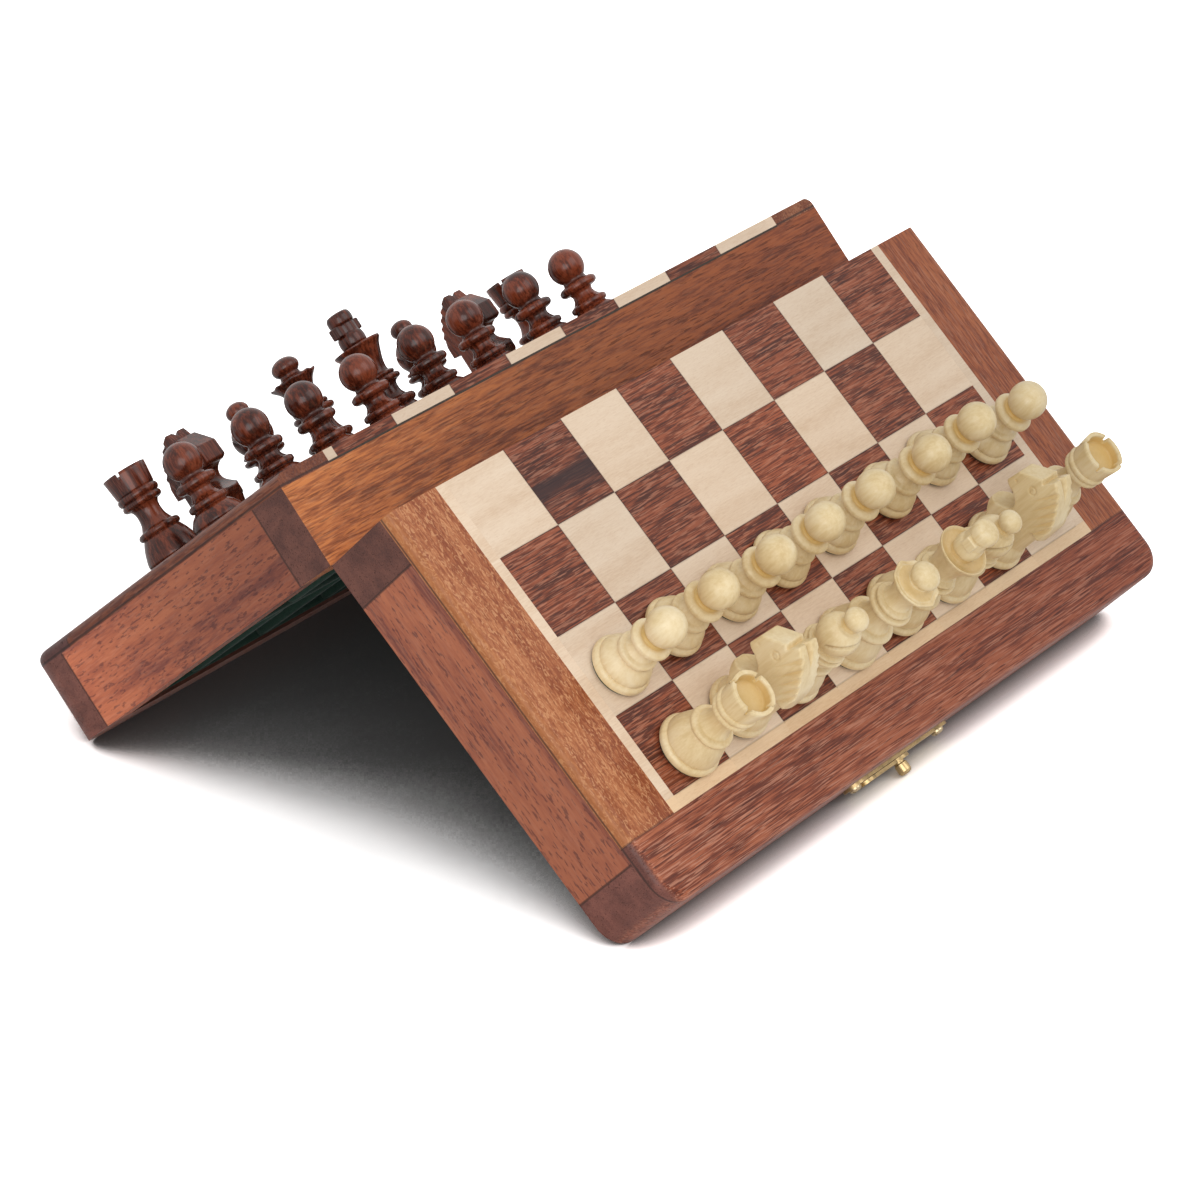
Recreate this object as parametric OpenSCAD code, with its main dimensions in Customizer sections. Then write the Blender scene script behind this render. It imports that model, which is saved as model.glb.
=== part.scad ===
// Folding magnetic chess box. Two equal half boxes carry the board on their tops and are
// hinged at the rims along the middle of the board. It stands half open like a roof, with
// the near half toward -Y and the far half toward +Y, and both sets of men on their squares.
// Each half is drawn flat first: rims down at Z = 0, hinge axis on X, board edge at -Y.

/* [Board] */
// Side of one playing square
square = 25.75; // [22:0.25:34]
// Depth lost from each half's hinge row at the saw cut
saw_cut = 0.7; // [0.3:0.1:1.5]
// Width of the pale strip around the squares
strip = 3.8; // [2:0.1:8]
// Width of the border rails
border = 20.2; // [16:0.1:30]
// Thickness of the squares and strips
inlay = 3.2; // [2:0.1:5]

/* [Half box] */
// Height of one half, from rim plane to playing surface
half_height = 28.2; // [26:0.1:36]
// Thickness of the wall that carries the hinges
hinge_wall = 14; // [12:0.5:20]
// Thickness of the wall that carries the latch
front_wall = 15.5; // [12:0.5:20]
// Thickness of the two end walls
end_wall = 10; // [6:0.5:15]
// Plan radius of the front corners
corner_r = 8.5; // [5:0.5:12]
// Radius on the outer top edges of the border rails
edge_r = 3; // [1:0.1:3.2]
// Set-back of each rim and hinge face from the hinge axis
set_back = 0.15; // [0.1:0.01:0.3]
// Glue line between glued pieces
glue = 0.02; // [0.01:0.01:0.05]
// Slope of each half when it stands open like a roof
slope = 42.3; // [30:0.1:60]

/* [Under the board] */
// Thickness of the steel sheet under the squares
steel = 0.6; // [0.4:0.1:1]
// Thickness of the backing board
backing = 3; // [2:0.1:5]
// Thickness of the felt lining
felt = 0.8; // [0.5:0.1:1.5]
// Thickness of the felt-covered divider strips
divider = 4; // [3:0.1:6]
// How far the dividers stop below the rim
divider_drop = 1; // [0.5:0.1:3]
// Number of slots in each row of the lining
slots = 8; // [4:1:8]

/* [Hinges] */
// Length of each hinge along the box
hinge_len = 30; // [24:1:45]
// Distance from each end of the box to the hinge's middle
hinge_inset = 48; // [30:1:80]
// Width of a leaf from the hinge axis
leaf_w = 11; // [9:0.5:12]
// Thickness of a leaf
leaf_t = 1.2; // [0.8:0.1:1.6]
// Radius of the knuckles
knuckle_r = 1.8; // [1.6:0.1:2.6]
// Radius of the hinge pin
pin_r = 0.8; // [0.6:0.05:1]
// Running clearance around pins and pivots
running = 0.05; // [0.03:0.01:0.1]

/* [Screws] */
// Radius of a screw's shank
screw_r = 1; // [0.8:0.1:1.3]
// Radius of a countersunk head
sink_r = 1.9; // [1.6:0.1:2.4]
// Length of a screw
screw_len = 9; // [6:0.5:11]
// Radius of a round head
pan_r = 2; // [1.6:0.1:2.4]
// Height of a round head
pan_h = 1.2; // [0.8:0.1:1.6]

/* [Latch] */
// Length of the latch plate
latch_len = 49; // [46:1:70]
// Width of the latch plate and catch plate
latch_w = 8; // [7:0.5:10]
// Thickness of both plates
plate_t = 0.9; // [0.9:0.05:1.2]
// Height of the latch pivot above its rim
latch_z = 7.4; // [7.2:0.1:9]
// Distance from the pivot to the stud that the hook catches
hook_reach = 15.6; // [14:0.1:17]
// Width of the hook's arm
hook_w = 4.6; // [4:0.1:6]
// Thickness of the hook
hook_t = 1; // [0.8:0.1:1.2]
// Radius of the hook's tip
tip_r = 3; // [2.6:0.1:3.4]
// Radius of the catch stud
stud_r = 1.2; // [0.9:0.1:1.4]
// Radius of the finger knob
knob_r = 2; // [1.8:0.05:2.2]
// Length of the finger knob
knob_len = 4; // [3:0.1:4.2]
// Radius of the pivot shank under the knob
pivot_r = 1.3; // [1:0.05:1.4]
// Length of the catch plate
catch_len = 22; // [20:1:30]

/* [Chessmen] */
// Height of a pawn
pawn_h = 28.5; // [24:0.5:34]
// Height of a rook
rook_h = 31.3; // [26:0.5:36]
// Height of a knight
knight_h = 35; // [30:0.5:40]
// Height of a bishop
bishop_h = 34.8; // [31:0.1:42]
// Height of a queen
queen_h = 40.4; // [36:0.1:46]
// Height of a king
king_h = 45; // [40:0.5:52]
// Base diameter of a pawn
pawn_d = 17.8; // [15:0.1:19.6]
// Base diameter of rooks, knights and bishops
officer_d = 18.6; // [16:0.1:20]
// Base diameter of queens and kings
royal_d = 19.4; // [17:0.1:20]
// Diameter of a pawn's ball head
pawn_head = 11.4; // [9:0.1:13]
// Diameter of the bishop's and queen's ball tops
ball_d = 7.2; // [5:0.1:7.4]
// Thickness of a knight's head
knight_t = 9; // [7:0.1:11]
// Height of the plain band round a foot
foot_band = 2.2; // [1.8:0.1:2.8]
// Thickness of the felt pad under a man
pad = 0.6; // [0.4:0.1:1]
// Radius of the magnet in a man's foot
magnet_r = 5; // [3:0.1:6]
// Thickness of the magnet
magnet_t = 2; // [1.5:0.1:3]
// How unevenly the men are set down: 0 puts each in the middle of its square
men_stray = 1; // [0:0.1:1]

/* [Hidden] */
row_0 = square - saw_cut;
box_w = 8 * square + 2 * strip + 2 * border;
half_d = row_0 + 3 * square + strip + border;
wall_top = half_height - inlay - steel;
lining_top = wall_top - backing;
slot_top = lining_top - felt;
inner_w = box_w - 2 * end_wall;
inner_y0 = -(half_d - front_wall);
inner_y1 = -(set_back + hinge_wall);
inner_d = inner_y1 - inner_y0;
axis_z = half_d * sin(slope) - set_back * cos(slope);
hinge_x = box_w / 2 - hinge_inset;
leaf_len = hinge_len - 1;
knuckle = hinge_len / 3;
knuckle_gap = 0.15;
notch_r = knuckle_r + 0.25;
hook_lift = 0.15;
stud_z = hook_reach - latch_z;
stud_clear = 0.45;
latch_screw_x = latch_len / 2 - latch_w / 2 + 0.7;
catch_screw_x = catch_len / 2 - latch_w / 2 + 0.4;
screw_y = -(knuckle_r + leaf_w) / 2 - 0.5;
screw_pitch = hinge_len / 3;
files = ["a", "b", "c", "d", "e", "f", "g", "h"];
rank = ["rook", "knight", "bishop", "queen", "king", "bishop", "knight", "rook"];
function man_name(side, c) = (rank[c] == "king" || rank[c] == "queen")
    ? str(side, "_", rank[c]) : str(side, "_", rank[c], "_", files[c]);
function men_names(side) = concat(
    [for (c = [0:7]) man_name(side, c)],
    [for (c = [0:7]) str(side, "_pawn_", files[c])]);

$fn = 64;

// Places something drawn flat: the near half leans down toward -Y, the far half is the
// same thing turned half round.
module near() {
    translate([0, 0, axis_z]) rotate([slope, 0, 0]) children();
}
module far() {
    rotate([0, 0, 180]) near() children();
}

// Outline of one half in plan, with the two front corners rounded.
module plan() {
    translate([-box_w / 2, -half_d + corner_r])
        square([box_w, half_d - corner_r - set_back]);
    translate([-box_w / 2 + corner_r, -half_d])
        square([box_w - 2 * corner_r, corner_r]);
    for (s = [-1, 1]) translate([s * (box_w / 2 - corner_r), -half_d + corner_r])
        circle(r = corner_r);
}

module leaf_recess(x) {
    translate([x - leaf_len / 2 - 0.1, -leaf_w - 0.1, -1])
        cube([leaf_len + 0.2, leaf_w + 0.2, 1 + set_back + leaf_t]);
    translate([x, 0, 0]) rotate([0, 90, 0])
        cylinder(r = notch_r, h = hinge_len + 0.6, center = true);
}

module hinge_screw_places() {
    for (sx = [-1, 1], k = [-1, 0, 1])
        translate([sx * hinge_x + k * screw_pitch, screw_y, set_back]) children();
}

module hinge_wall_flat() {
    difference() {
        translate([-box_w / 2, inner_y1, set_back])
            cube([box_w, hinge_wall, wall_top - set_back]);
        for (sx = [-1, 1]) leaf_recess(sx * hinge_x);
        hinge_screw_places() translate([0, 0, -1])
            cylinder(r = screw_r, h = screw_len + 1.3);
    }
}

module front_wall_flat(holes_z, holes_x, pivot) {
    difference() {
        translate([0, 0, set_back]) linear_extrude(wall_top - set_back) intersection() {
            plan();
            translate([-box_w / 2, -half_d]) square([box_w, front_wall]);
        }
        translate([0, -half_d, holes_z]) rotate([90, 0, 0]) {
            for (sx = [-1, 1]) translate([sx * holes_x, 0, -screw_len - 0.3])
                cylinder(r = screw_r, h = screw_len + 1);
            if (pivot) translate([0, 0, -3.2]) cylinder(r = pivot_r + running, h = 4);
        }
    }
}

module end_walls_flat() {
    for (sx = [-1, 1]) translate([sx * (box_w - end_wall) / 2, 0, 0])
        translate([-end_wall / 2, inner_y0, set_back])
            cube([end_wall, inner_d, wall_top - set_back]);
}

// Section of a rail with its outer top edge rounded, X from the edge inward.
module rail_section(w) {
    rail_h = inlay + steel;
    intersection() {
        translate([edge_r, rail_h - edge_r]) circle(r = edge_r);
        square([edge_r, rail_h]);
    }
    translate([edge_r, 0]) square([w - edge_r, rail_h]);
    square([edge_r, rail_h - edge_r]);
}

module border_rails_flat() {
    front_y = -half_d + border;
    for (sx = [0, 1]) mirror([sx, 0, 0]) {
        translate([-box_w / 2, 0, wall_top])
            rotate([90, 0, 0]) translate([0, 0, set_back])
                linear_extrude(-front_y - set_back - glue) rail_section(border);
    }
    translate([0, 0, wall_top]) {
        for (sx = [0, 1]) mirror([sx, 0, 0])
            translate([-box_w / 2 + corner_r, -half_d + corner_r, 0])
                rotate([0, 0, 180]) rotate_extrude(angle = 90)
                    translate([corner_r, 0]) mirror([1, 0]) rail_section(corner_r);
        translate([-box_w / 2 + corner_r, -half_d, 0]) rotate([90, 0, 90])
            linear_extrude(box_w - 2 * corner_r) rail_section(border);
        for (sx = [0, 1]) mirror([sx, 0, 0])
            translate([-box_w / 2, front_y, 0]) rotate([90, 0, 0])
                linear_extrude(border - corner_r) rail_section(border);
    }
}

// Rows count from the hinge; the row at the hinge is shallower by the saw cut.
function row_y(j) = j == 0 ? -row_0 : -row_0 - j * square;
module board_square(i, j) {
    y0 = row_y(j);
    y1 = j == 0 ? -set_back : row_y(j - 1);
    translate([(i - 4) * square + glue, y0 + glue, wall_top + steel])
        cube([square - 2 * glue, y1 - y0 - glue, inlay]);
}

module light_inlay_flat() {
    for (i = [0:7], j = [0:3]) if ((i + j) % 2 == 0) board_square(i, j);
    for (sx = [-1, 1])
        translate([sx * (4 * square + strip / 2) - strip / 2, row_y(3) + glue, wall_top + steel])
            cube([strip, -row_y(3) - set_back - glue, inlay]);
    translate([-4 * square - strip, row_y(3) - strip, wall_top + steel])
        cube([8 * square + 2 * strip, strip, inlay]);
}

module dark_squares_flat() {
    for (i = [0:7], j = [0:3]) if ((i + j) % 2 == 1) board_square(i, j);
}

module steel_sheet_flat() {
    translate([-4 * square - strip, row_y(3) - strip, wall_top])
        cube([8 * square + 2 * strip, -row_y(3) + strip - set_back, steel]);
}

module backing_board_flat() {
    translate([-inner_w / 2, inner_y0, lining_top]) cube([inner_w, inner_d, backing]);
}

// Felt on the floor and on the four inner wall faces, then the divider strips:
// one along the middle and the short ones across, between the slots.
module felt_lining_flat() {
    low = set_back + divider_drop;
    side_h = slot_top - glue - low;
    room_w = inner_w - 2 * felt;
    room_d = inner_d - 2 * felt;
    slot_w = (room_w - (slots - 1) * divider) / slots;
    slot_d = (room_d - divider) / 2;
    translate([-inner_w / 2, inner_y0, slot_top]) cube([inner_w, inner_d, felt]);
    for (y = [inner_y0, inner_y1 - felt])
        translate([-inner_w / 2, y, low]) cube([inner_w, felt, side_h]);
    for (x = [-inner_w / 2, inner_w / 2 - felt])
        translate([x, inner_y0 + felt + glue, low]) cube([felt, room_d - 2 * glue, side_h]);
    translate([-room_w / 2 + glue, inner_y0 + felt + slot_d, low])
        cube([room_w - 2 * glue, divider, side_h]);
    for (k = [1:slots - 1], r = [0, 1])
        translate([-room_w / 2 + k * slot_w + (k - 1) * divider,
                   inner_y0 + felt + r * (slot_d + divider) + glue, low])
            cube([divider, slot_d - 2 * glue, side_h]);
}

// A leaf lies in the rim with its knuckles on the axis: the near one has the two outer
// knuckles, the far one the middle knuckle.
module leaf_flat(x, middle) {
    difference() {
        union() {
            if (middle) {
                translate([x - knuckle / 2 + knuckle_gap, -leaf_w, set_back])
                    cube([knuckle - 2 * knuckle_gap, leaf_w, leaf_t]);
                translate([x - knuckle / 2 + knuckle_gap, 0, 0]) rotate([0, 90, 0])
                    cylinder(r = knuckle_r, h = knuckle - 2 * knuckle_gap);
            } else {
                for (k = [-1, 1]) translate([x + k * knuckle - (knuckle - 1) / 2, 0, 0]) {
                    translate([0, -leaf_w, set_back]) cube([knuckle - 1, leaf_w, leaf_t]);
                    rotate([0, 90, 0]) cylinder(r = knuckle_r, h = knuckle - 1);
                }
            }
            translate([x - leaf_len / 2, -leaf_w, set_back])
                cube([leaf_len, leaf_w - notch_r, leaf_t]);
        }
        translate([x, 0, 0]) rotate([0, 90, 0])
            cylinder(r = pin_r + (middle ? running : 0), h = hinge_len + 2, center = true);
        for (k = [-1, 0, 1]) translate([x + k * screw_pitch, screw_y, set_back]) sunk_hole();
    }
}

module sunk_hole() {
    cylinder(r1 = sink_r, r2 = screw_r, h = sink_r - screw_r);
    translate([0, 0, -1]) cylinder(r = screw_r + running, h = 6);
}

// Countersunk screw, head at Z = 0 and point upward.
module sunk_screw(len) {
    difference() {
        union() {
            cylinder(r1 = sink_r, r2 = screw_r, h = sink_r - screw_r);
            cylinder(r = screw_r, h = len - 1.5);
            translate([0, 0, len - 1.5]) cylinder(r1 = screw_r, r2 = 0.2, h = 1.5);
        }
        translate([0, 0, 0.2]) cube([2 * sink_r + 1, 0.5, 0.6], center = true);
    }
}

// Round-head screw, head above Z = 0 and point downward.
module pan_screw(len) {
    difference() {
        union() {
            rotate_extrude() polygon([[0, 0], [pan_r, 0], [pan_r, 0.4 * pan_h],
                [0.8 * pan_r, 0.8 * pan_h], [0.45 * pan_r, pan_h], [0, pan_h]]);
            translate([0, 0, 1.5 - len]) cylinder(r = screw_r, h = len - 1.5);
            translate([0, 0, -len]) cylinder(r1 = 0.2, r2 = screw_r, h = 1.5);
        }
        translate([0, 0, pan_h]) cube([2 * pan_r + 1, 0.5, 0.8], center = true);
    }
}

module hinge_leaves_flat(middle) {
    for (sx = [-1, 1]) leaf_flat(sx * hinge_x, middle);
}

module hinge_screws_flat() {
    hinge_screw_places() sunk_screw(screw_len);
}

// The latch is drawn on the front wall's outer face: X along the box, Y up to the board,
// Z outward.
module on_front(z) {
    translate([0, -half_d, z]) rotate([90, 0, 0]) children();
}

module plate_shape(len) {
    translate([-len / 2 + latch_w / 2, -latch_w / 2]) square([len - latch_w, latch_w]);
    for (sx = [-1, 1]) translate([sx * (len - latch_w) / 2, 0]) circle(r = latch_w / 2);
}

module latch_plate_flat() {
    difference() {
        linear_extrude(plate_t) plate_shape(latch_len);
        for (sx = [-1, 1]) translate([sx * latch_screw_x, 0, -1])
            cylinder(r = screw_r + running, h = plate_t + 2);
        translate([0, 0, -1]) cylinder(r = pivot_r + running, h = plate_t + 2);
    }
}

module latch_hook_flat() {
    slot_w = 2 * (stud_r + stud_clear);
    translate([0, 0, plate_t + hook_lift]) difference() {
        union() {
            linear_extrude(hook_t) {
                circle(r = hook_w * 0.8);
                translate([-hook_reach, -hook_w / 2]) square([hook_reach, hook_w]);
                translate([-hook_reach, 0]) circle(r = tip_r);
            }
        }
        translate([-hook_reach, 0, -1]) cylinder(r = slot_w / 2, h = hook_t + 2);
        translate([-hook_reach - slot_w / 2, -tip_r - 1, -1])
            cube([slot_w, tip_r + 1, hook_t + 2]);
        translate([0, 0, -1]) cylinder(r = pivot_r, h = hook_t + 2);
    }
}

module latch_knob_flat() {
    z0 = plate_t + hook_lift + hook_t;
    rotate_extrude() polygon([[0, -3], [pivot_r, -3], [pivot_r, z0], [0.8 * knob_r, z0],
        [0.8 * knob_r, z0 + 0.5], [knob_r, z0 + 0.8], [knob_r, z0 + knob_len - 0.9],
        [0.85 * knob_r, z0 + knob_len - 0.3], [0.5 * knob_r, z0 + knob_len], [0, z0 + knob_len]]);
}

module catch_plate_flat() {
    z1 = plate_t + hook_lift + hook_t;
    difference() {
        union() {
            linear_extrude(plate_t) plate_shape(catch_len);
            cylinder(r = stud_r, h = z1 + 0.3);
            translate([0, 0, z1 + 0.3]) cylinder(r = stud_r + 0.7, h = 0.9);
        }
        for (sx = [-1, 1]) translate([sx * catch_screw_x, 0, 0]) {
            translate([0, 0, plate_t - (sink_r - screw_r)])
                cylinder(r1 = screw_r, r2 = sink_r, h = sink_r - screw_r);
            translate([0, 0, -1]) cylinder(r = screw_r + running, h = plate_t + 2);
        }
    }
}

// Turned outlines: each point is a share of the foot radius and of the height.
function sized(p, r, h) = [for (q = p) [q[0] * r, q[1] * h]];
function arc(z, r, a0, a1, n, tall = 1) =
    [for (k = [0:n]) let (a = a0 + (a1 - a0) * k / n)
        [k == n ? 0 : r * cos(a), z + tall * r * sin(a)]];
function foot(r, h) = concat(
    [[0, pad + magnet_t], [magnet_r + glue, pad + magnet_t], [magnet_r + glue, pad],
     [0.96 * r, pad], [r, pad + 0.27 * foot_band]],
    [for (q = [[1, 1], [0.935, 1.32], [0.875, 1.39], [0.905, 1.68]])
        [q[0] * r, q[1] * foot_band + pad / 2]]);

pawn_line = concat(foot(pawn_d / 2, pawn_h), sized([[0.87, 0.18], [0.73, 0.245],
    [0.59, 0.283], [0.57, 0.292], [0.66, 0.308], [0.68, 0.335], [0.65, 0.36], [0.52, 0.378],
    [0.42, 0.42], [0.38, 0.465], [0.42, 0.497], [0.6, 0.51], [0.685, 0.532], [0.7, 0.556],
    [0.68, 0.58], [0.58, 0.602], [0.42, 0.612]], pawn_d / 2, pawn_h),
    arc(pawn_h - pawn_head / 2, pawn_head / 2, -50, 90, 11));

rook_line = concat(foot(officer_d / 2, rook_h), sized([[0.87, 0.18], [0.78, 0.26],
    [0.66, 0.335], [0.62, 0.348], [0.69, 0.363], [0.71, 0.388], [0.66, 0.412], [0.53, 0.424],
    [0.43, 0.49], [0.4, 0.56], [0.42, 0.61], [0.48, 0.643], [0.6, 0.652], [0.655, 0.668],
    [0.66, 0.688], [0.63, 0.706], [0.6, 0.712], [0.66, 0.724], [0.69, 0.743], [0.69, 0.763],
    [0.66, 0.78], [0.62, 0.787], [0.65, 0.8], [0.725, 1], [0.6, 1], [0.56, 0.91], [0, 0.91]],
    officer_d / 2, rook_h));

bishop_line = concat(foot(officer_d / 2, bishop_h), sized([[0.87, 0.17], [0.77, 0.24],
    [0.65, 0.303], [0.615, 0.314], [0.69, 0.328], [0.71, 0.353], [0.66, 0.374],
    [0.52, 0.384], [0.42, 0.415], [0.4, 0.438], [0.46, 0.453], [0.64, 0.463], [0.72, 0.482],
    [0.71, 0.503], [0.6, 0.512], [0.6, 0.519], [0.66, 0.53], [0.65, 0.547], [0.52, 0.557],
    [0.56, 0.58], [0.64, 0.62], [0.68, 0.67], [0.66, 0.72], [0.58, 0.77], [0.45, 0.81]],
    officer_d / 2, bishop_h),
    [[0.45 * ball_d, bishop_h - 0.9 * ball_d], [0.34 * ball_d, bishop_h - 0.85 * ball_d]],
    arc(bishop_h - 0.39 * ball_d, ball_d / 2, -48, 90, 9, 0.78));

queen_line = concat(foot(royal_d / 2, queen_h), sized([[0.88, 0.15], [0.79, 0.205],
    [0.68, 0.253], [0.65, 0.263], [0.75, 0.278], [0.78, 0.303], [0.72, 0.323], [0.56, 0.334],
    [0.47, 0.38], [0.44, 0.43], [0.46, 0.475], [0.55, 0.497], [0.67, 0.508], [0.71, 0.529],
    [0.67, 0.548], [0.54, 0.554], [0.59, 0.563], [0.61, 0.58], [0.56, 0.594], [0.46, 0.602],
    [0.42, 0.64], [0.46, 0.7], [0.56, 0.755], [0.7, 0.794], [0.77, 0.811], [0.765, 0.828],
    [0.65, 0.824], [0.47, 0.834], [0.38, 0.843], [0.34, 0.852], [0.33, 0.864]],
    royal_d / 2, queen_h),
    arc(queen_h - 0.427 * ball_d, 0.61 * ball_d, -46, 90, 9, 0.7));

king_line = concat(foot(royal_d / 2, king_h), sized([[0.88, 0.135], [0.79, 0.185],
    [0.68, 0.228], [0.65, 0.238], [0.75, 0.251], [0.78, 0.274], [0.72, 0.292], [0.56, 0.302],
    [0.47, 0.335], [0.45, 0.37], [0.47, 0.4], [0.56, 0.417], [0.67, 0.424], [0.71, 0.44],
    [0.67, 0.457], [0.55, 0.463], [0.6, 0.472], [0.61, 0.485], [0.55, 0.494], [0.47, 0.502],
    [0.46, 0.53], [0.5, 0.58], [0.58, 0.63], [0.68, 0.685], [0.79, 0.722], [0.785, 0.738],
    [0.66, 0.716], [0.5, 0.703], [0.38, 0.708], [0.36, 0.735], [0.42, 0.752], [0.44, 0.785],
    [0.42, 0.82], [0.37, 0.838], [0.36, 0.9], [0.34, 0.906], [0.4, 0.915], [0.418, 0.94],
    [0.4, 0.972], [0.31, 0.993], [0, 1]], royal_d / 2, king_h));

knight_foot = concat(foot(officer_d / 2, knight_h), sized([[0.88, 0.16], [0.82, 0.2],
    [0.72, 0.232], [0, 0.232]], officer_d / 2, knight_h));
// Side view of the head: share of foot radius forward of the axis, share of height.
knight_head = [[-0.7, 0.2], [-0.88, 0.269], [-0.968, 0.371], [-0.968, 0.543], [-0.882, 0.654],
    [-0.731, 0.743], [-0.516, 0.834], [-0.269, 0.917], [-0.043, 0.967], [0.183, 1],
    [0.27, 0.952], [0.36, 0.886], [0.495, 0.914], [1.15, 0.766], [1.2, 0.617],
    [1.03, 0.597], [0.796, 0.591], [0.538, 0.56], [0.43, 0.514], [0.495, 0.463],
    [0.817, 0.4], [1.14, 0.354], [1.054, 0.314], [0.849, 0.271], [0.7, 0.2]];
// Where the cuts of the mane start on the back of the neck.
mane = [[-0.172, 0.943], [-0.387, 0.877], [-0.57, 0.811], [-0.731, 0.743], [-0.849, 0.669]];

module magnet_and_pad(d) {
    translate([0, 0, pad]) cylinder(r = magnet_r, h = magnet_t - glue);
    cylinder(r = 0.92 * d / 2, h = pad - glue);
}

module pawn() {
    rotate_extrude() polygon(pawn_line);
    magnet_and_pad(pawn_d);
}

module rook() {
    difference() {
        rotate_extrude() polygon(rook_line);
        for (a = [30, 120]) rotate([0, 0, a])
            translate([0, 0, rook_h]) cube([officer_d, 0.06 * officer_d, 0.13 * rook_h], center = true);
    }
    magnet_and_pad(officer_d);
}

module bishop() {
    difference() {
        rotate_extrude() polygon(bishop_line);
        translate([0, -0.3 * officer_d, 0.768 * bishop_h]) rotate([-38, 0, 0])
            cube([officer_d, 0.42 * officer_d, 0.043 * officer_d], center = true);
    }
    magnet_and_pad(officer_d);
}

module queen() {
    difference() {
        rotate_extrude() polygon(queen_line);
        for (k = [0:7]) rotate([0, 0, 45 * k])
            translate([0.8 * royal_d / 2, 0, 0.838 * queen_h]) rotate([0, 90, 0])
                cylinder(r = 0.11 * royal_d / 2, h = 0.4 * royal_d / 2, center = true, $fn = 24);
    }
    magnet_and_pad(royal_d);
}

module king() {
    rotate_extrude() polygon(king_line);
    translate([0, 0, 0.874 * king_h])
        cube([1.06 * royal_d / 2, 0.4 * royal_d / 2, 0.08 * king_h], center = true);
    magnet_and_pad(royal_d);
}

module knight() {
    r = officer_d / 2;
    difference() {
        union() {
            rotate_extrude() polygon(knight_foot);
            intersection() {
                rotate([90, 0, 90]) translate([0, 0, -knight_t / 2]) linear_extrude(knight_t)
                    polygon(sized(knight_head, r, knight_h));
                union() {
                    cylinder(r = 0.98 * r, h = knight_h);
                    translate([-r, 0, 0.5 * knight_h]) cube([2 * r, 1.3 * r, 0.5 * knight_h]);
                    // the chest is rounded from side to side
                    linear_extrude(0.51 * knight_h) polygon(r * [[-0.55, 0], [0.55, 0],
                        [0.55, 0.78], [0.4, 1.02], [0.2, 1.14], [-0.2, 1.14], [-0.4, 1.02],
                        [-0.55, 0.78]]);
                }
            }
        }
        // gouge between the ears
        translate([0, 0.17 * r, 0.94 * knight_h]) rotate([114, 0, 0])
            linear_extrude(2 * r, center = true) polygon([[0, 0],
                [0.3 * knight_t, 0.13 * knight_h], [-0.3 * knight_t, 0.13 * knight_h]]);
        // eyes and the cuts of the mane, which fade out toward the chest
        for (sx = [-1, 1]) {
            translate([sx * knight_t / 2, 0.43 * r, 0.77 * knight_h]) rotate([0, 90, 0])
                cylinder(r = 0.09 * r, h = 0.09 * knight_t, center = true, $fn = 24);
            for (m = mane) translate([sx * knight_t / 2, m[0] * r, m[1] * knight_h])
                rotate([-158, 0, 0]) translate([0, 0, -0.1 * r])
                    cylinder(r1 = 0.105 * knight_t, r2 = 0.02 * knight_t, h = 1.15 * r, $fn = 24);
        }
    }
    magnet_and_pad(officer_d);
}

// Board places: file 0 to 7 from the left, row 3 along the rim and row 2 for the pawns.
// How far each man stands from its square's middle, to the right and toward the hinge, as
// shares of a square: no two are set down alike.
astray = [
    [[0.062, -0.163], [0.008, -0.113], [-0.03, -0.113], [0.035, -0.143],
     [0.004, -0.124], [-0.012, -0.14], [0.039, -0.132], [0.116, -0.062]],
    [[-0.054, -0.093], [-0.07, -0.047], [-0.031, -0.058], [-0.078, -0.035],
     [-0.085, -0.019], [0.054, -0.016], [0.027, 0.023], [0, -0.078]],
    [[0.023, -0.016], [-0.027, -0.062], [0.008, -0.039], [0.019, -0.031],
     [0.124, 0.039], [0.012, -0.047], [0.012, -0.047], [0, -0.047]],
    [[-0.058, -0.039], [0.066, -0.023], [0, -0.035], [-0.035, -0.031],
     [0.023, -0.031], [-0.062, -0.023], [0.035, -0.031], [-0.039, -0.054]],
];
module on_square(c, r, off, turned) {
    x = (c - 3.5 + men_stray * off[0]) * square;
    y = row_y(r) + (0.5 + men_stray * off[1]) * square;
    translate([turned ? -x : x, y, half_height]) children();
}

module man(kind) {
    if (kind == "rook") rook();
    if (kind == "knight") knight();
    if (kind == "bishop") bishop();
    if (kind == "queen") queen();
    if (kind == "king") king();
    if (kind == "pawn") pawn();
}

module light_man(c) {
    color("#e9d9a8") near() on_square(c, 3, astray[0][c], false) man(rank[c]);
}
module light_pawn(c) {
    color("#e9d9a8") near() on_square(c, 2, astray[1][c], false) pawn();
}
module dark_man(c) {
    color("#7a3320") far() on_square(c, 3, astray[2][c], true) man(rank[c]);
}
module dark_pawn(c) {
    color("#7a3320") far() on_square(c, 2, astray[3][c], true) pawn();
}

module near_hinge_wall() { color("#a5582f") near() hinge_wall_flat(); }
module far_hinge_wall() { color("#a5582f") far() hinge_wall_flat(); }
module near_front_wall() { color("#8a4a35") near() front_wall_flat(latch_z, latch_screw_x, true); }
module far_front_wall() { color("#8a4a35") far() front_wall_flat(stud_z, catch_screw_x, false); }
module near_end_walls() { color("#b5654a") near() end_walls_flat(); }
module far_end_walls() { color("#b5654a") far() end_walls_flat(); }
module near_border_rails() { color("#9a5232") near() border_rails_flat(); }
module far_border_rails() { color("#9a5232") far() border_rails_flat(); }
module near_light_inlay() { color("#e3cba6") near() light_inlay_flat(); }
module far_light_inlay() { color("#e3cba6") far() light_inlay_flat(); }
module near_dark_squares() { color("#7d4636") near() dark_squares_flat(); }
module far_dark_squares() { color("#7d4636") far() dark_squares_flat(); }
module near_steel_sheet() { color("#5c5f5c") near() steel_sheet_flat(); }
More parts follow.
